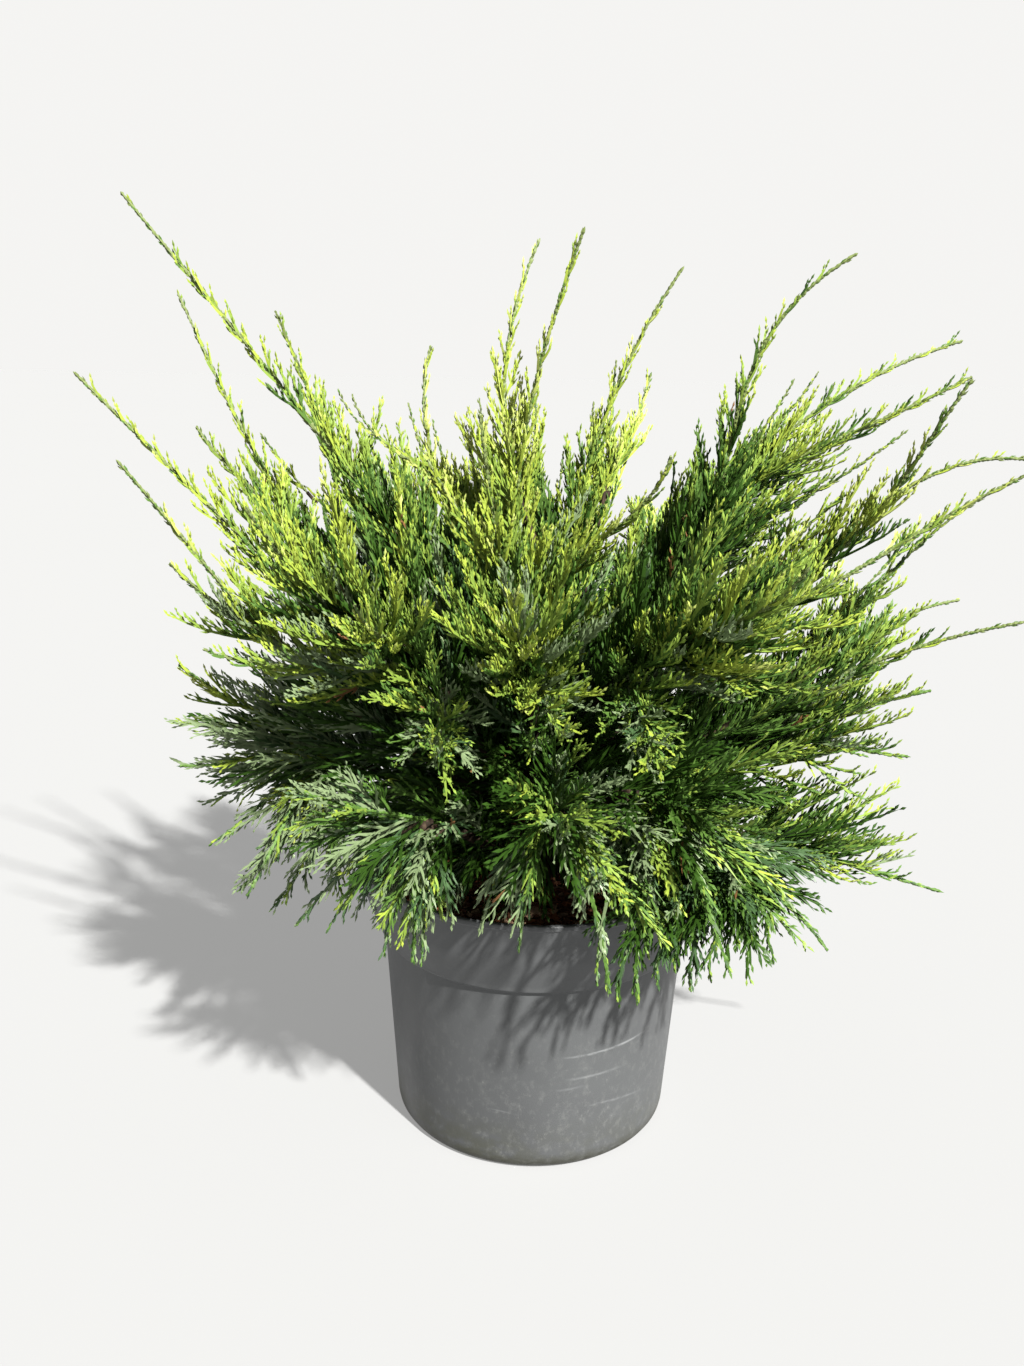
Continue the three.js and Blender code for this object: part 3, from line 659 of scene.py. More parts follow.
def finer_shoots(parents, rule, rng):
    """The next level of growth along many shoots, and which of them each one stands on."""
    counts = np.maximum(0, (parents.length - rule.bare) // rule.step + 1).astype(int)
    parent = np.repeat(np.arange(len(counts)), counts)
    order = np.arange(len(parent)) - np.repeat(np.cumsum(counts) - counts, counts)
    along = rule.bare + order * rule.step
    share = np.minimum(along / parents.length[parent], 0.99)
    start, forward = on_curve([points[parent] for points in parents.handles], share[:, None])
    first_turn = rng.uniform(0, 360, len(counts))[parent]
    turn = first_turn + order * rule.turn + rng.normal(0, rule.turn_spread, len(parent))
    spread = parents.spread[parent]
    opening = np.radians(rule.angle + rule.angle_spread * (rng.random(len(parent)) - 0.5)) * spread
    hang = parents.hang[parent]
    leaving = splayed(forward, turn, opening[:, None])
    leaving = unit(leaving + UP * (rule.rise * (1 - hang))[:, None])
    left = parents.length[parent] - along
    length = np.minimum(rule.least + rule.taper * left, rule.longest) * rng.uniform(0.75, 1.2, len(parent))
    length *= between(1, rule.stretch, hang)
    lift = between(rule.lift, rule.hanging_lift, hang)
    handles = shoot_handles(start, forward, leaving, length, rule.curl, lift[:, None])
    tone = parents.tone[parent] + TONE_RISE_ALONG * (share - TONE_LEVEL_AT)
    tone += rng.normal(0, TONE_FINER_SPREAD, len(parent))
    return Shoots(handles, length, tone, parents.blue[parent], hang, spread, parents.inner[parent]), parent


# Meshes


def repeated(faces, count, size):
    """The faces of one shape, numbered on for many shapes of as many points each."""
    offsets = np.arange(count)[:, None, None] * size
    return (np.array(faces)[None] + offsets).reshape(-1, len(faces[0]))


def tube_faces(rings, sides):
    """Triangles of one tube: its root's cap, the bands between its rings, and the fan at its point."""
    cap = [(0, k + 1, k) for k in range(1, sides - 1)]
    bands = []
    for i in range(rings - 1):
        for k in range(sides):
            a = i * sides + k
            b = i * sides + (k + 1) % sides
            bands += [(a, b, a + sides), (b, b + sides, a + sides)]
    last = (rings - 1) * sides
    return cap + bands + [(last + k, last + (k + 1) % sides, last + sides) for k in range(sides)]


def tubes(handles, radii, shares, tips=1.0):
    """Pointed tubes round many curves. radii is one number for each curve, ring and side."""
    count, rings, sides = radii.shape
    turn = turns(sides)[None, :, None]
    points = np.empty((count, rings * sides + 1, 3))
    across = None
    for i in range(rings):
        centre, forward = on_curve(handles, shares[i])
        if across is None:
            across = leaning(forward)
        across = unit(across - forward * np.sum(across * forward, axis=-1, keepdims=True))
        ring = across[:, None] * np.cos(turn) + np.cross(forward, across)[:, None] * np.sin(turn)
        points[:, i * sides:(i + 1) * sides] = centre[:, None] + ring * radii[:, i, :, None]
    points[:, -1] = on_curve(handles, tips)[0]
    return points.reshape(-1, 3), repeated(tube_faces(rings, sides), count, rings * sides + 1)


def leaning(forward):
    """Directions roughly across others, also across upright ones."""
    return np.cross(forward, UP) + np.cross(forward, [1.0, 0.0, 0.0]) * 0.01


def cords(shoots, radii, rings, sides=3):
    """Slender pointed cords along shoots, from one radius at the root to another near the tip."""
    shares = np.linspace(0, 1, rings + 1)[:-1]
    sizes = between(*radii, shares)[None, :, None]
    return tubes(shoots.handles, np.broadcast_to(sizes, (len(shoots.length), rings, sides)), shares)


def spindles(shoots, radius, widest=0.55):
    """Cordlets: three-sided, pointed at both ends and widest past the middle."""
    centre, forward = on_curve(shoots.handles, widest)
    across = unit(leaning(forward))
    other = np.cross(forward, across)
    points = np.empty((len(centre), 5, 3))
    points[:, 0] = shoots.handles[0]
    points[:, 4] = shoots.handles[-1]
    for k in range(3):
        turn = k * 2 * math.pi / 3
        points[:, k + 1] = centre + (across * math.cos(turn) + other * math.sin(turn)) * radius
    faces = [(0, 2, 1), (0, 3, 2), (0, 1, 3), (1, 2, 4), (2, 3, 4), (3, 1, 4)]
    return points.reshape(-1, 3), repeated(faces, len(centre), 5)


def joined(parts):
    points = [part[0] for part in parts]
    offsets = np.cumsum([0] + [len(p) for p in points[:-1]])
    faces = [part[1] + offset for part, offset in zip(parts, offsets)]
    return np.concatenate(points), np.concatenate(faces)


def add_object(name, data):
    thing = bpy.data.objects.new(name, data)
    bpy.context.scene.collection.objects.link(thing)
    return thing


def make_piece(name, points, faces, material, slot_name, smooth=False):
    """A mesh of triangles or quads that rides on the plant's one body. Points are in millimetres."""
    mesh = bpy.data.meshes.new(name)
    mesh.vertices.add(len(points))
    mesh.vertices.foreach_set("co", (points * MM).astype(np.float32).ravel())
    mesh.loops.add(faces.size)
    mesh.loops.foreach_set("vertex_index", faces.astype(np.int32).ravel())
    mesh.polygons.add(len(faces))
    mesh.polygons.foreach_set("loop_start", np.arange(0, faces.size, faces.shape[1], dtype=np.int32))
    mesh.polygons.foreach_set("use_smooth", np.full(len(faces), smooth))
    mesh.update(calc_edges=True)
    mesh.materials.append(material)
    piece = add_object(name, mesh)
    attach(piece, "root")
    return piece


# Materials


class Nodes:
    """Adds nodes to a tree. Each value given to them is plain, or the output of another node."""

    def __init__(self, tree):
        self.tree = tree

    def feed(self, socket, value):
        if isinstance(value, bpy.types.NodeSocket):
            self.tree.links.new(value, socket)
        else:
            socket.default_value = (*value, 1) if socket.type == "RGBA" else value

    def add(self, kind, **values):
        """A node with its settings and inputs."""
        node = self.tree.nodes.new("ShaderNode" + kind)
        for key, value in values.items():
            if key in node.inputs:
                self.feed(node.inputs[key], value)
            else:
                setattr(node, key, value)
        return node

    def noise(self, scale, detail=3.0, roughness=0.55):
        """Noise over the object, with a scale for each of its axes."""
        place = self.add("TexCoord").outputs["Object"]
        scaled = self.add("Mapping", Vector=place, Scale=scale).outputs["Vector"]
        node = self.add("TexNoise", Vector=scaled, Scale=1.0, Detail=detail, Roughness=roughness)
        return node.outputs["Fac"]

    def ramp(self, value, *stops):
        """Colours, or greys given as one number, at places from 0 to 1."""
        node = self.add("ValToRGB", Fac=value)
        elements = node.color_ramp.elements
        while len(elements) < len(stops):
            elements.new(0.5)
        for element, (place, colour) in zip(elements, stops):
            element.position = place
            shade = colour if isinstance(colour, tuple) else (colour,) * 3
            element.color = (*shade, 1)
        return node.outputs["Color"]

    def mix(self, factor, a, b, blend="MIX"):
        """Two colours mixed."""
        node = self.add("Mix", data_type="RGBA", blend_type=blend)
        for place, value in zip((0, 6, 7), (factor, a, b)):
            self.feed(node.inputs[place], value)
        return node.outputs[2]

    def times(self, a, b):
        """Two colours or greys multiplied."""
        return self.mix(1.0, a, b, "MULTIPLY")

    def sum(self, operation, *values, clamp=False):
        """One sum on numbers."""
        node = self.add("Math", operation=operation, use_clamp=clamp)
        for socket, value in zip(node.inputs, values):
            self.feed(socket, value)
        return node.outputs[0]


class Look(Nodes):
    """A material and the inputs of its shader."""

    def __init__(self, name, roughness, specular=0.5):
        self.material = bpy.data.materials.new(name)
        self.material.use_nodes = True
        super().__init__(self.material.node_tree)
        self.inputs = self.tree.nodes["Principled BSDF"].inputs
        self.set("Roughness", roughness)
        self.set("Specular IOR Level", specular)

    def set(self, name, value):
        self.feed(self.inputs[name], value)

    def bump(self, height, distance, strength=1.0):
        node = self.add("Bump", Height=height, Distance=distance, Strength=strength)
        self.set("Normal", node.outputs["Normal"])


def leaf_material(name, colour, shine):
    look = Look(name, 0.5, shine)
    look.set("Base Color", colour)
    return look.material


def bark_material():
    look = Look("bark", 0.85, 0.2)
    fibres = look.noise((260, 260, 55), 5)
    dark = (0.3, (0.008, 0.005, 0.003))
    brown = (0.5, (0.022, 0.014, 0.008))
    worn = (0.68, (0.052, 0.034, 0.020))
    look.set("Base Color", look.ramp(fibres, dark, brown, worn))
    look.bump(fibres, 0.0012)
    return look.material


def mulch_material(name, dark, light):
    look = Look(name, 0.9, 0.2)
    grain = look.noise((300, 300, 300), 4)
    look.set("Base Color", look.ramp(grain, (0.35, dark), (0.65, light)))
    look.bump(grain, 0.0008)
    return look.material


def scratch(look, turn, height, line):
    """A thin line scraped round the pot between two turns, fading at both ends."""
    first, last, foot, rise, width, strength = line
    begun = look.sum("SUBTRACT", turn, math.radians(first))
    share = look.sum("DIVIDE", begun, math.radians(last - first), clamp=True)
    ends = look.sum("MULTIPLY", share, look.sum("SUBTRACT", 1.0, share))
    climb = look.sum("MULTIPLY", look.sum("MULTIPLY", share, share), rise * MM)
    off = look.sum("SUBTRACT", look.sum("SUBTRACT", height, foot * MM), climb)
    near = look.sum("DIVIDE", look.sum("ABSOLUTE", off), width * MM, clamp=True)
    shown = look.sum("MULTIPLY", ends, 4 * strength)
    return look.sum("MULTIPLY", look.sum("SUBTRACT", 1.0, near), shown)


def pot_material():
    """Dull grey plastic: faint clouding, dust, dirt low down, and a few long scratches."""
    look = Look("pot_plastic", 0.5, 0.4)
    place = look.add("TexCoord").outputs["Object"]
    right, back, height = look.add("SeparateXYZ", Vector=place).outputs
    turn = look.sum("ARCTAN2", right, look.sum("MULTIPLY", back, -1.0))
    clouds = look.noise((14, 14, 14), 4)
    colour = look.ramp(clouds, (0.3, (0.046, 0.048, 0.050)), (0.7, (0.058, 0.061, 0.063)))

    stains = look.ramp(look.noise((210, 210, 150), 6, 0.7), (0.50, 0.0), (0.68, 0.8))
    stained = look.times(stains, look.ramp(height, (0.005, 0.9), (0.11, 0.2)))
    colour = look.mix(stained, colour, (0.092, 0.095, 0.094))
    specks = look.ramp(look.noise((520, 520, 430), 5, 0.7), (0.56, 0.0), (0.68, 1.0))
    colour = look.mix(look.times(specks, stained), colour, (0.170, 0.172, 0.162))

    worn = look.noise((160, 160, 420), 3)
    breaks = look.ramp(worn, (0.36, 0.15), (0.60, 1.0))
    for line in SCRATCHES:
        mark = look.times(scratch(look, turn, height, line), breaks)
        colour = look.mix(mark, colour, (0.200, 0.207, 0.211))

    low = look.ramp(height, (0.0, 1.0), (0.040, 0.0))
    patches = look.ramp(look.noise((70, 70, 120), 5), (0.36, 0.0), (0.56, 1.0))
    to_left = look.ramp(look.sum("ADD", turn, 0.5), (0.0, 1.0), (0.6, 0.35))
    grime = look.times(look.times(low, patches), to_left)
    colour = look.mix(grime, colour, (0.036, 0.037, 0.022))
    foot = look.ramp(height, (0.003, 1.0), (0.011, 0.0))
    crust = look.ramp(worn, (0.38, 0.55), (0.58, 1.0))
    colour = look.mix(look.times(foot, crust), colour, (0.016, 0.016, 0.009))
    look.set("Base Color", colour)
    look.set("Roughness", look.ramp(clouds, (0.3, 0.42), (0.7, 0.58)))
    look.bump(look.noise((1400, 1400, 1400), 2), 0.0002, 0.4)
    return look.material


# Pot and mulch


def rounded(profile, steps=5):
    """An outline with each corner made a small curve, from rows of radius, height and rounding."""
    points = [np.array(p[:2], float) for p in profile]
    result = [points[0]]
    for before, corner, after, row in zip(points, points[1:], points[2:], profile[1:]):
        back = np.linalg.norm(before - corner)
        on = np.linalg.norm(after - corner)
        reach = min(row[2], back * 0.49, on * 0.49)
        a = corner + (before - corner) / back * reach
        b = corner + (after - corner) / on * reach
        for t in np.linspace(0, 1, steps):
            result.append(a * (1 - t) ** 2 + corner * 2 * t * (1 - t) + b * t * t)
    result.append(points[-1])
    return np.array(result)


def turned(radii, heights, segments):
    """Points of rings round the pot's axis, and the quads between them."""
    turn = turns(segments)
    levels = np.broadcast_to(heights, (len(radii), segments))
    points = np.stack([radii * np.cos(turn), radii * np.sin(turn), levels], axis=-1)
    row = np.arange(len(radii) - 1)[:, None] * segments
    k = np.arange(segments)[None]
    following = (k + 1) % segments
    quads = np.stack([row + k, row + following, row + segments + following, row + segments + k], axis=-1)
    return points.reshape(-1, 3), quads.reshape(-1, 4)


def close_ends(piece, segments):
    """Fills the first and the last ring of a turned mesh with one face each."""
    mesh = bmesh.new()
    mesh.from_mesh(piece.data)
    mesh.verts.ensure_lookup_table()
    total = len(mesh.verts)
    mesh.faces.new([mesh.verts[k] for k in reversed(range(segments))])
    mesh.faces.new([mesh.verts[total - segments + k] for k in range(segments)])
    mesh.to_mesh(piece.data)
    mesh.free()


def make_pot():
    inner_lip = LIP_RADIUS - POT_WALL - 1
    outline = rounded([
        (0, 0, 0),
        (BASE_RADIUS - 0.5, 0, BASE_EDGE),
        (*BODY_TOP, 0.5),
        (*COLLAR_FOOT, 0.5),
        (COLLAR_FOOT[0] + 0.9, COLLAR_FOOT[1] + 3, 1.5),
        (*COLLAR_LOW, 3),
        (*COLLAR_KNEE, 4),
        (LIP_RADIUS - 1.2, POT_HEIGHT - LIP_DEPTH, 0.6),
        (LIP_RADIUS, POT_HEIGHT - LIP_DEPTH + 0.6, 0.6),
        (LIP_RADIUS, POT_HEIGHT, 1.3),
        (inner_lip, POT_HEIGHT, 1.3),
        (inner_lip - 0.6, POT_HEIGHT - LIP_DEPTH, 1),
        (COLLAR_KNEE[0] - POT_WALL, COLLAR_KNEE[1], 3),
        (BODY_TOP[0] - POT_WALL, BODY_TOP[1] - 1, 3),
        (BASE_RADIUS - POT_WALL, BASE_EDGE, 2),
        (BASE_RADIUS - BASE_EDGE, POT_FLOOR, 2),
        (0, POT_FLOOR, 0),
    ])[1:-1]
    points, quads = turned(outline[:, :1], outline[:, 1:], POT_SEGMENTS)
    pot = make_piece("nursery_pot", points, quads, pot_material(), "pot", smooth=True)
    close_ends(pot, POT_SEGMENTS)
    pot.data.set_sharp_from_angle(angle=math.radians(40))
    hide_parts("pot")


def soil_height(radius):
    """Height of the mulch at a distance from the pot's axis."""
    places = [0, SOIL_FLAT, SOIL_SHOULDER[0], COLLAR_KNEE[0]]
    return np.interp(radius, places, [SOIL_CROWN, SOIL_CROWN, SOIL_SHOULDER[1], SOIL_EDGE])


def make_bed(rng):
    """The rough surface under the loose chips."""
    radii = np.linspace(0.5, COLLAR_KNEE[0] - POT_WALL, BED_RINGS)[:, None]
    heights = soil_height(radii) - BED_SUNK + rng.normal(0, 0.5, (BED_RINGS, BED_SEGMENTS))
    points, quads = turned(radii, heights, BED_SEGMENTS)
    dark = mulch_material("mulch_dark", (0.012, 0.007, 0.005), (0.050, 0.026, 0.015))
    bed = make_piece("mulch_bed", points, quads[:, [0, 3, 2, 1]], dark, "soil", smooth=True)
    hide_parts("soil")


def make_chips(rng):
    """Bark chips: boxes with ragged corners, lying more or less flat on the bed."""
    corners = np.array([(x, y, z) for z in (-1, 1) for y in (-1, 1) for x in (-1, 1)], float) / 2
    box = [(0, 2, 3, 1), (4, 5, 7, 6), (0, 1, 5, 4), (2, 6, 7, 3), (0, 4, 6, 2), (1, 3, 7, 5)]
    sizes = np.array(CHIP_SIZES) * rng.uniform(0.45, 1.35, (CHIP_COUNT, 3))
    chips = corners * sizes[:, None] * rng.uniform(0.6, 1.3, (CHIP_COUNT, 8, 3))
    distance = np.sqrt(rng.uniform(0.02, 1, CHIP_COUNT)) * CHIP_REACH
    turn = rng.uniform(0, 2 * math.pi, CHIP_COUNT)
    height = soil_height(distance) + rng.uniform(*CHIP_LIFTS, CHIP_COUNT)
    centre = np.stack([distance * np.cos(turn), distance * np.sin(turn), height], axis=-1)
    yaw = rng.uniform(0, 2 * math.pi, CHIP_COUNT)
    tilt = rng.normal(0, CHIP_TILT, (2, CHIP_COUNT))
    along = unit(np.stack([np.cos(yaw), np.sin(yaw), tilt[0]], axis=-1))
    normal = unit(np.cross(along, np.stack([-np.sin(yaw), np.cos(yaw), tilt[1]], axis=-1)))
    axes = np.stack([along, np.cross(normal, along), normal], axis=1)
    placed = np.einsum("nvi,nij->nvj", chips, axes) + centre[:, None]
    kind = rng.choice(len(CHIP_KINDS), CHIP_COUNT, p=[share for _, _, share in CHIP_KINDS.values()])
    for i, (name, (dark, light, _)) in enumerate(CHIP_KINDS.items()):
        chosen = placed[kind == i]
        faces = repeated(box, len(chosen), 8)
        make_piece(name, chosen.reshape(-1, 3), faces, mulch_material(name, dark, light), "soil")


# Limbs


def relief(length, rings, sides, depth, rng):
    """Ridges and hollows of shredding bark: one factor for each ring and side."""
    share = np.linspace(0, 1, rings)[:, None]
    turn = turns(sides)[None]
    rough = np.zeros((rings, sides))
    for waves in (2, 3, 5, 7):
        drift = rng.uniform(-1, 1) * length * 0.03
        beat = rng.uniform(0, 2 * math.pi)
        swell = np.sin(share * length * rng.uniform(0.05, 0.15) + rng.uniform(0, 6))
        rough += np.sin(waves * turn + drift * share + beat) * (0.6 + 0.4 * swell) / waves
    calm = np.clip(np.minimum(share, 1 - share) * length / 8, 0, 1)
    return 1 + depth * calm * (rough + rng.normal(0, 0.35, rough.shape))


def bark_limb(handles, foot_radius, tip_radius, to, sides, depth, rng):
    """A limb's tube with the bark's relief, up to a share of its curve."""
    span = np.linalg.norm(handles[-1] - handles[0]) * to
    rings = max(4, int(span / BARK_STEP))
    shares = np.linspace(0, to, rings)
    radii = between(foot_radius, tip_radius, shares)[:, None] * relief(span, rings, sides, depth, rng)
    return tubes([handle[None] for handle in handles], radii[None], shares, min(1.0, to + 0.01))


def make_trunk(material, rng):
    shares = np.linspace(0, 1, TRUNK_RINGS)
    heights = between(TRUNK_FOOT[2], TRUNK_TIP[2], shares)
    bark = relief(heights[-1] - heights[0], TRUNK_RINGS, TRUNK_SIDES, TRUNK_RELIEF, rng)
    radii = trunk_radius(heights)[:, None] * bark
    points, faces = tubes([TRUNK_FOOT[None] - UP * 2, TRUNK_TIP[None]], radii[None], shares)
    trunk = make_piece("trunk_bark", points, faces, material, "bark", smooth=True)
    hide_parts("trunk")


def make_boughs(plumes, material, rng):
    radii = (BOUGH_FOOT_RADIUS, BOUGH_TIP_RADIUS)
    parts = [bark_limb(bough, *radii, 1.0, 12, BOUGH_RELIEF, rng) for bough, _ in plumes if bough]
    boughs = make_piece("boughs_bark", *joined(parts), material, "bark", smooth=True)
    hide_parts(*[f"bough_{row[0]}" for row in PLUMES if row[5] > 0])


def make_stems(stems, material, rng):
    """The woody part of every stem, inside the foliage."""
    radii = [(stem.foot_radius, STEM_TIP_RADIUS) for stem in stems]
    parts = [bark_limb(s.handles, *r, BARE_STEM, 8, STEM_RELIEF, rng) for s, r in zip(stems, radii)]
    piece = make_piece("stems_bark", *joined(parts), material, "bark", smooth=True)
    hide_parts(*[f"foliage_{row[0]}" for row in PLUMES])


# Foliage


def place_tone(points, rng):
    """How bright the growth is at a place: painted light makes it pale and yellow high up and to the right,
    painted shade deep low down.
    """
    x, y, z = points.T
    above = z - TONE_HEIGHT
    right = ramped(x, 0, RIGHT_SIDE[0])
    tone = TONE_THERE + np.where(above > 0, np.minimum(above / TONE_RISE, TONE_MOST_RISE), above / TONE_FALL)
    # painted light to the right and painted shade to the left, below the tone's height
    tone += PAINTED_LIGHT_TO_RIGHT * np.clip(x / RIGHT_SIDE[1], -1, 1) * (above < 0)
    # painted shade in the heart of the crown, near the pot's axis
    tone += HEART_PAINTED_SHADE[0] * ramped(np.hypot(x, y), HEART_PAINTED_SHADE[1], 0) * (z < HEART_PAINTED_SHADE[2])
    # random spread, wider high up to the right, so that some sprays there are dark as painted shade between
    # pale ones
    tone += rng.normal(0, TONE_SPREAD, len(points)) * (1 + right * (above > 0))
    # painted shade: low growth, and growth to the left, is kept from being bright
    least, added, low, high = BRIGHTEST
    return np.minimum(tone, least + PAINTED_LIGHT_TO_RIGHT * right + added * ramped(z, low, high))


def place_blue(points, rng):
    """True for shoots with the blue-green cast of the shaded lower left."""
    x, y, z = points.T
    chance = ramped(z, *BLUE_HEIGHTS) * np.clip(BLUE_CHANCE - x / BLUE_WIDTH, *BLUE_CHANCES)
    return rng.random(len(points)) < chance


def plume_shoots(seed, bough, stems, rng):
    """The outer and the inner side shoots of one mass.

    Those of the solids come first, then the shorter ones between them, on the bough and in the heart.
    """
    draw = seeded(seed)
    for _ in range(CORE_DRAWS * sum(stem.scale == 1 for stem in stems)):
        draw()
    outer = []
    inner = []
    for stem in stems:
        outer += side_shoots(stem, draw if stem.scale == 1 else rng.random, scale=stem.scale)
    for stem in stems:
        bare = BARE_FOOT + SHOOT_STEP / 2
        scale = stem.scale * BETWEEN_SCALE
        outer += side_shoots(stem, rng.random, bare, scale=scale, least=BETWEEN_LEAST)
    if bough:
        limb = plan_stem(bough, BOUGH_FOOT_RADIUS, 0, 0)
        beyond = stems[0].length
        outer += side_shoots(limb, rng.random, BOUGH_BARE, beyond, BOUGH_SHOOT_SCALE)
        inner += side_shoots(limb, rng.random, INNER_BARE, beyond, INNER_SCALE)
        inner += side_shoots(stems[0], rng.random, INNER_BARE, scale=INNER_SCALE, least=INNER_LEAST)
    return outer, inner


def shoot_rows(plumes, rng):
    """Every side shoot, with the painted shade and light added to its tone and whether it is in the crown's
    heart.
    """
    rows = []
    for seed, (row, (bough, stems)) in enumerate(zip(PLUMES, plumes), start=1):
        outer, inner = plume_shoots(seed, bough, stems, rng)
        stands = rng.random(len(outer)) < THINNED.get(row[0], 1.0)
        # the mass's painted shade (below 0) and painted light (above 0)
        shade = PAINTED_SHADE_AND_LIGHT.get(row[0], 0.0)
        rows += [(*shoot, shade, False) for shoot, kept in zip(outer, stands) if kept]
        # shoots in the heart carry the heart's painted shade
        rows += [(*shoot, INNER_PAINTED_SHADE, True) for shoot in inner]
    return [np.array(column) for column in zip(*rows)]


def grow_shoots(plumes, rng):
    """The side shoots, shortened where the pot is in their way."""
    start, forward, leaving, length, spread, shade, inner = shoot_rows(plumes, rng)
    reach = np.hypot(start[:, 0], start[:, 1])
    beneath = (reach > OPEN_BELOW[0]) & (start[:, 2] < OPEN_BELOW[1]) & (leaving[:, 2] < 0)
    length[beneath] *= 0.5
    to_right = np.degrees(np.abs(np.arctan2(start[:, 1], start[:, 0])))
    hang = ramped(start[:, 2], RISING_ABOVE, HANGING_BELOW)
    hang *= np.maximum(ramped(reach, HANG_REACH[1], HANG_REACH[0]), 0.25)
    hang *= np.maximum(ramped(to_right, *LEVEL_TURNS), 0.1)
    lift = between(SHOOT_LIFT, SHOOT_HANG, hang)[:, None]
    # the place's and the mass's painted light and painted shade
    tone = place_tone(start, rng) + shade
    blue = place_blue(start, rng) & ~inner
    for _ in range(4):
        handles = shoot_handles(start, forward, leaving, length, SHOOT_CURL, lift)
        shoots = Shoots(handles, length, tone, blue, hang, spread, inner)
        x, y, z = handles[-1].T
        good = fits(shoots) & ((z > LOW_GROWTH) | (np.hypot(x, y) < LOW_REACH))
        length = np.where(good, length, length * 0.8)
    return pick(shoots, good)


def tone_names(shoots):
    """The name of the base colour dealt to each shoot."""
    names = np.array(list(TONES))[np.digitize(shoots.tone, TONE_EDGES)]
    blue = np.where(shoots.tone < BLUE_EDGE, "blue_deep", "blue_light")
    return np.where(shoots.blue, blue, names)


def scaly_leaders(stems, rng):
    """The green end of every stem: a scaly cord, thick and thin by turns like overlapping leaves."""
    parts = []
    for stem in stems:
        rings = int(stem.length * (1 - SCALY_FROM) / SCALY_STEP)
        shares = np.linspace(SCALY_FROM, SCALY_TO, rings)
        foot, tip = LEADER_RADII if stem.scale == 1 else SLIM_LEADER_RADII
        radius = foot + (tip - foot) * (shares - SCALY_FROM) / (1 - SCALY_FROM)
        radii = (radius * np.where(np.arange(rings) % 2, 1.0, SCALY_WAIST))[:, None]
        radii = radii * rng.uniform(0.85, 1.15, (rings, 4))
        parts.append(tubes([handle[None] for handle in stem.handles], radii[None], shares))
    return parts


def leader_scales(stems, rng):
    """Short cordlets pressed close along the end of every leader, up to its tip."""
    rows = []
    for stem in stems:
        count = int(stem.length * (1 - SCALES_FROM) / SCALES_STEP)
        first_turn = rng.uniform(0, 360)
        for i in range(count):
            share = SCALES_FROM + (SCALES_TO - SCALES_FROM) * i / count
            start, forward = on_curve(stem.handles, share)
            turn = first_turn + i * GOLDEN_ANGLE + rng.normal(0, SCALES_TURN_SPREAD)
            opening = math.radians(SCALES_ANGLE * rng.uniform(0.7, 1.3))
            length = between(*SCALES_LENGTH, share) * rng.uniform(0.7, 1.2)
            length *= 1 if stem.scale == 1 else SLIM_SCALES
            rows.append((start, forward, splayed(forward, turn, opening), length))
    start, forward, leaving, length = (np.array(column) for column in zip(*rows))
    handles = shoot_handles(start, forward, leaving, length, SCALES_CURL, SCALES_LIFT)
    # the place's painted light and shade, kept below the leaders' tone
    tone = np.minimum(place_tone(start, rng), LEADER_TONE) + rng.normal(0, 0.1, len(rows))
    none = np.zeros(len(rows))
    return Shoots(handles, length, tone, place_blue(start, rng), none, none, none > 0)


def make_sprays(name, points, faces):
    """One tone's growth, in pieces of a size that can be handled."""
    colour, shine, slot_name = TONES[name]
    material = leaf_material(f"sprays_{name}", colour, shine)
    slots = {sub["node"]: sub["material_slot"] for sub in frame["record"]["subparts"]}
    nodes = [node for node, slot in slots.items() if slot == slot_name and "foliage" in node]
    pieces = math.ceil(len(faces) / LARGEST_PIECE)
    for i in range(pieces):
        share = faces[i * len(faces) // pieces:(i + 1) * len(faces) // pieces]
        used, local = np.unique(share, return_inverse=True)
        piece = make_piece(f"sprays_{name}_{i + 1}", points[used], local.reshape(-1, 3), material, slot_name)
        if nodes:
            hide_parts(*nodes)


def make_foliage(plumes, stems, rng):
    shoots = grow_shoots(plumes, rng)
    branchlets = finer_shoots(shoots, BRANCHLETS, rng)[0]
    branchlets = pick(branchlets, fits(branchlets))
    inner = branchlets.inner
    short = (branchlets.length < SHORT_BRANCHLET) & ~inner
    long = ~short & ~inner
    dead = (rng.random(len(inner)) < DEAD_SHARE) & (branchlets.tone < DEAD_BELOW) & ~inner
    names = np.where(dead, "dead", tone_names(branchlets))
    cordlets, parent = finer_shoots(branchlets, CORDLETS, rng)
    good = fits(cordlets) & ~cordlets.inner & (rng.random(len(parent)) > HANGING_PLAIN * cordlets.hang)
    cordlets = pick(cordlets, good)
    cordlet_names = names[parent[good]]
    scales = leader_scales(stems, rng)
    scale_names = tone_names(scales)
    scale_names[(scale_names == "leaf") & (scales.handles[0][:, 2] > LOW_LEADER)] = "leader"
    ends = {"mid": [], "leader": []}
    for stem in stems:
        ends["mid" if stem.handles[3][2] < LOW_LEADER else "leader"].append(stem)
    for name in TONES:
        dealt = names == name
        parts = [
            cords(pick(shoots, tone_names(shoots) == name), SHOOT_RADII, 6),
            cords(pick(branchlets, dealt & long), BRANCHLET_RADII, 2),
            spindles(pick(branchlets, dealt & short), CORDLET_RADIUS),
            spindles(pick(branchlets, dealt & inner), INNER_RADIUS),
            spindles(pick(cordlets, cordlet_names == name), CORDLET_RADIUS),
            spindles(pick(scales, scale_names == name), SCALES_RADIUS),
        ]
        parts += scaly_leaders(ends.get(name, []), rng)
        make_sprays(name, *joined(parts))


def make_plant(rng):
    plumes = [plan_plume(row) for row in PLUMES]
    stems = [stem for _, plume_stems in plumes for stem in plume_stems]
    bark = bark_material()
    make_trunk(bark, rng)
    make_boughs(plumes, bark, rng)
    make_stems(stems, bark, rng)
    make_foliage(plumes, stems, rng)


# Light and camera


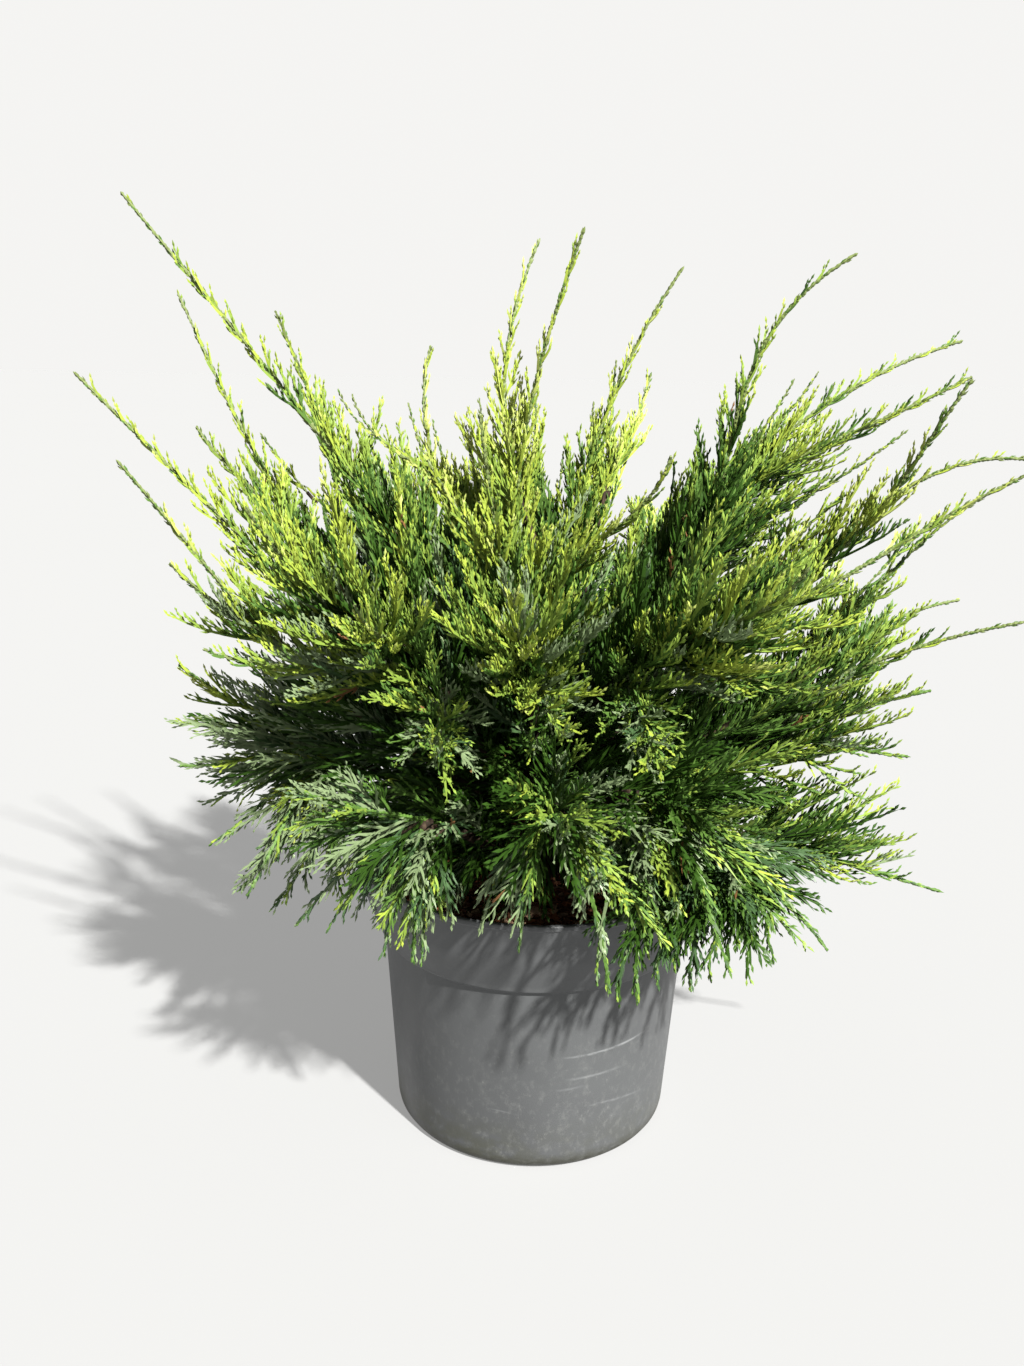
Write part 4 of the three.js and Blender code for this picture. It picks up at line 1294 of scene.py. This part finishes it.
def make_stage():
    look = Look("pale_floor", 1.0, 0.0)
    dim, bright = (tuple(part * (1 - FLOOR_GLOW) for part in colour) for colour in FLOOR_COLOURS)
    look.set("Base Color", look.ramp(look.noise((0.6, 0.6, 0.6)), (0.3, dim), (0.7, bright)))
    look.set("Emission Color", SURROUND)
    look.set("Emission Strength", FLOOR_GLOW)
    look.material.cycles.emission_sampling = "NONE"
    mesh = bpy.data.meshes.new("floor")
    corners = ((-1, -1), (1, -1), (1, 1), (-1, 1))
    mesh.from_pydata([(x * FLOOR_REACH, y * FLOOR_REACH, 0) for x, y in corners], [], [(0, 1, 2, 3)])
    mesh.materials.append(look.material)
    floor = add_object("floor", mesh)


def facing(direction):
    """A turn that points a lamp's back along a direction."""
    back = unit(np.array(direction, float))
    side = unit(np.cross(UP, back))
    columns = np.stack([side, np.cross(back, side), back], axis=1)
    return Matrix(columns.tolist()).to_4x4()


def make_lights():
    sun = bpy.data.lights.new("key", "SUN")
    sun.energy = SUN_STRENGTH
    sun.angle = math.radians(SUN_WIDTH)
    sun.color = SUN_COLOUR
    add_object("key", sun).matrix_world = facing(SUN_FROM)
    world = bpy.data.worlds.new("studio")
    world.use_nodes = True
    nodes = Nodes(world.node_tree)
    direction = nodes.add("TexCoord").outputs["Generated"]
    height = nodes.add("SeparateXYZ", Vector=direction).outputs["Z"]
    shade = nodes.ramp(height, (0.28, SURROUND), (0.36, OVERHEAD))
    nodes.feed(world.node_tree.nodes["Background"].inputs["Color"], shade)
    bpy.context.scene.world = world
    bpy.context.scene.view_settings.view_transform = "Standard"


def make_camera():
    data = bpy.data.cameras.new("camera")
    data.sensor_width = SENSOR
    data.lens = SENSOR * FOCAL_LENGTH / PHOTO_HEIGHT
    data.clip_start = 0.02
    turn = (
        Matrix.Rotation(CAMERA_TO_LEFT, 4, "Z")
        @ Matrix.Rotation(-CAMERA_DIP, 4, "X")
        @ Matrix.Rotation(CAMERA_ROLL, 4, "Y")
        @ Matrix.Rotation(math.pi / 2, 4, "X")
    )
    camera = add_object("camera", data)
    camera.matrix_world = Matrix.Translation(CAMERA_PLACE) @ turn
    bpy.context.scene.camera = camera


make_camera()
make_lights()
make_stage()
make_pot()
mulch_rng = np.random.default_rng(3)
make_bed(mulch_rng)
make_chips(mulch_rng)
make_plant(np.random.default_rng(7))
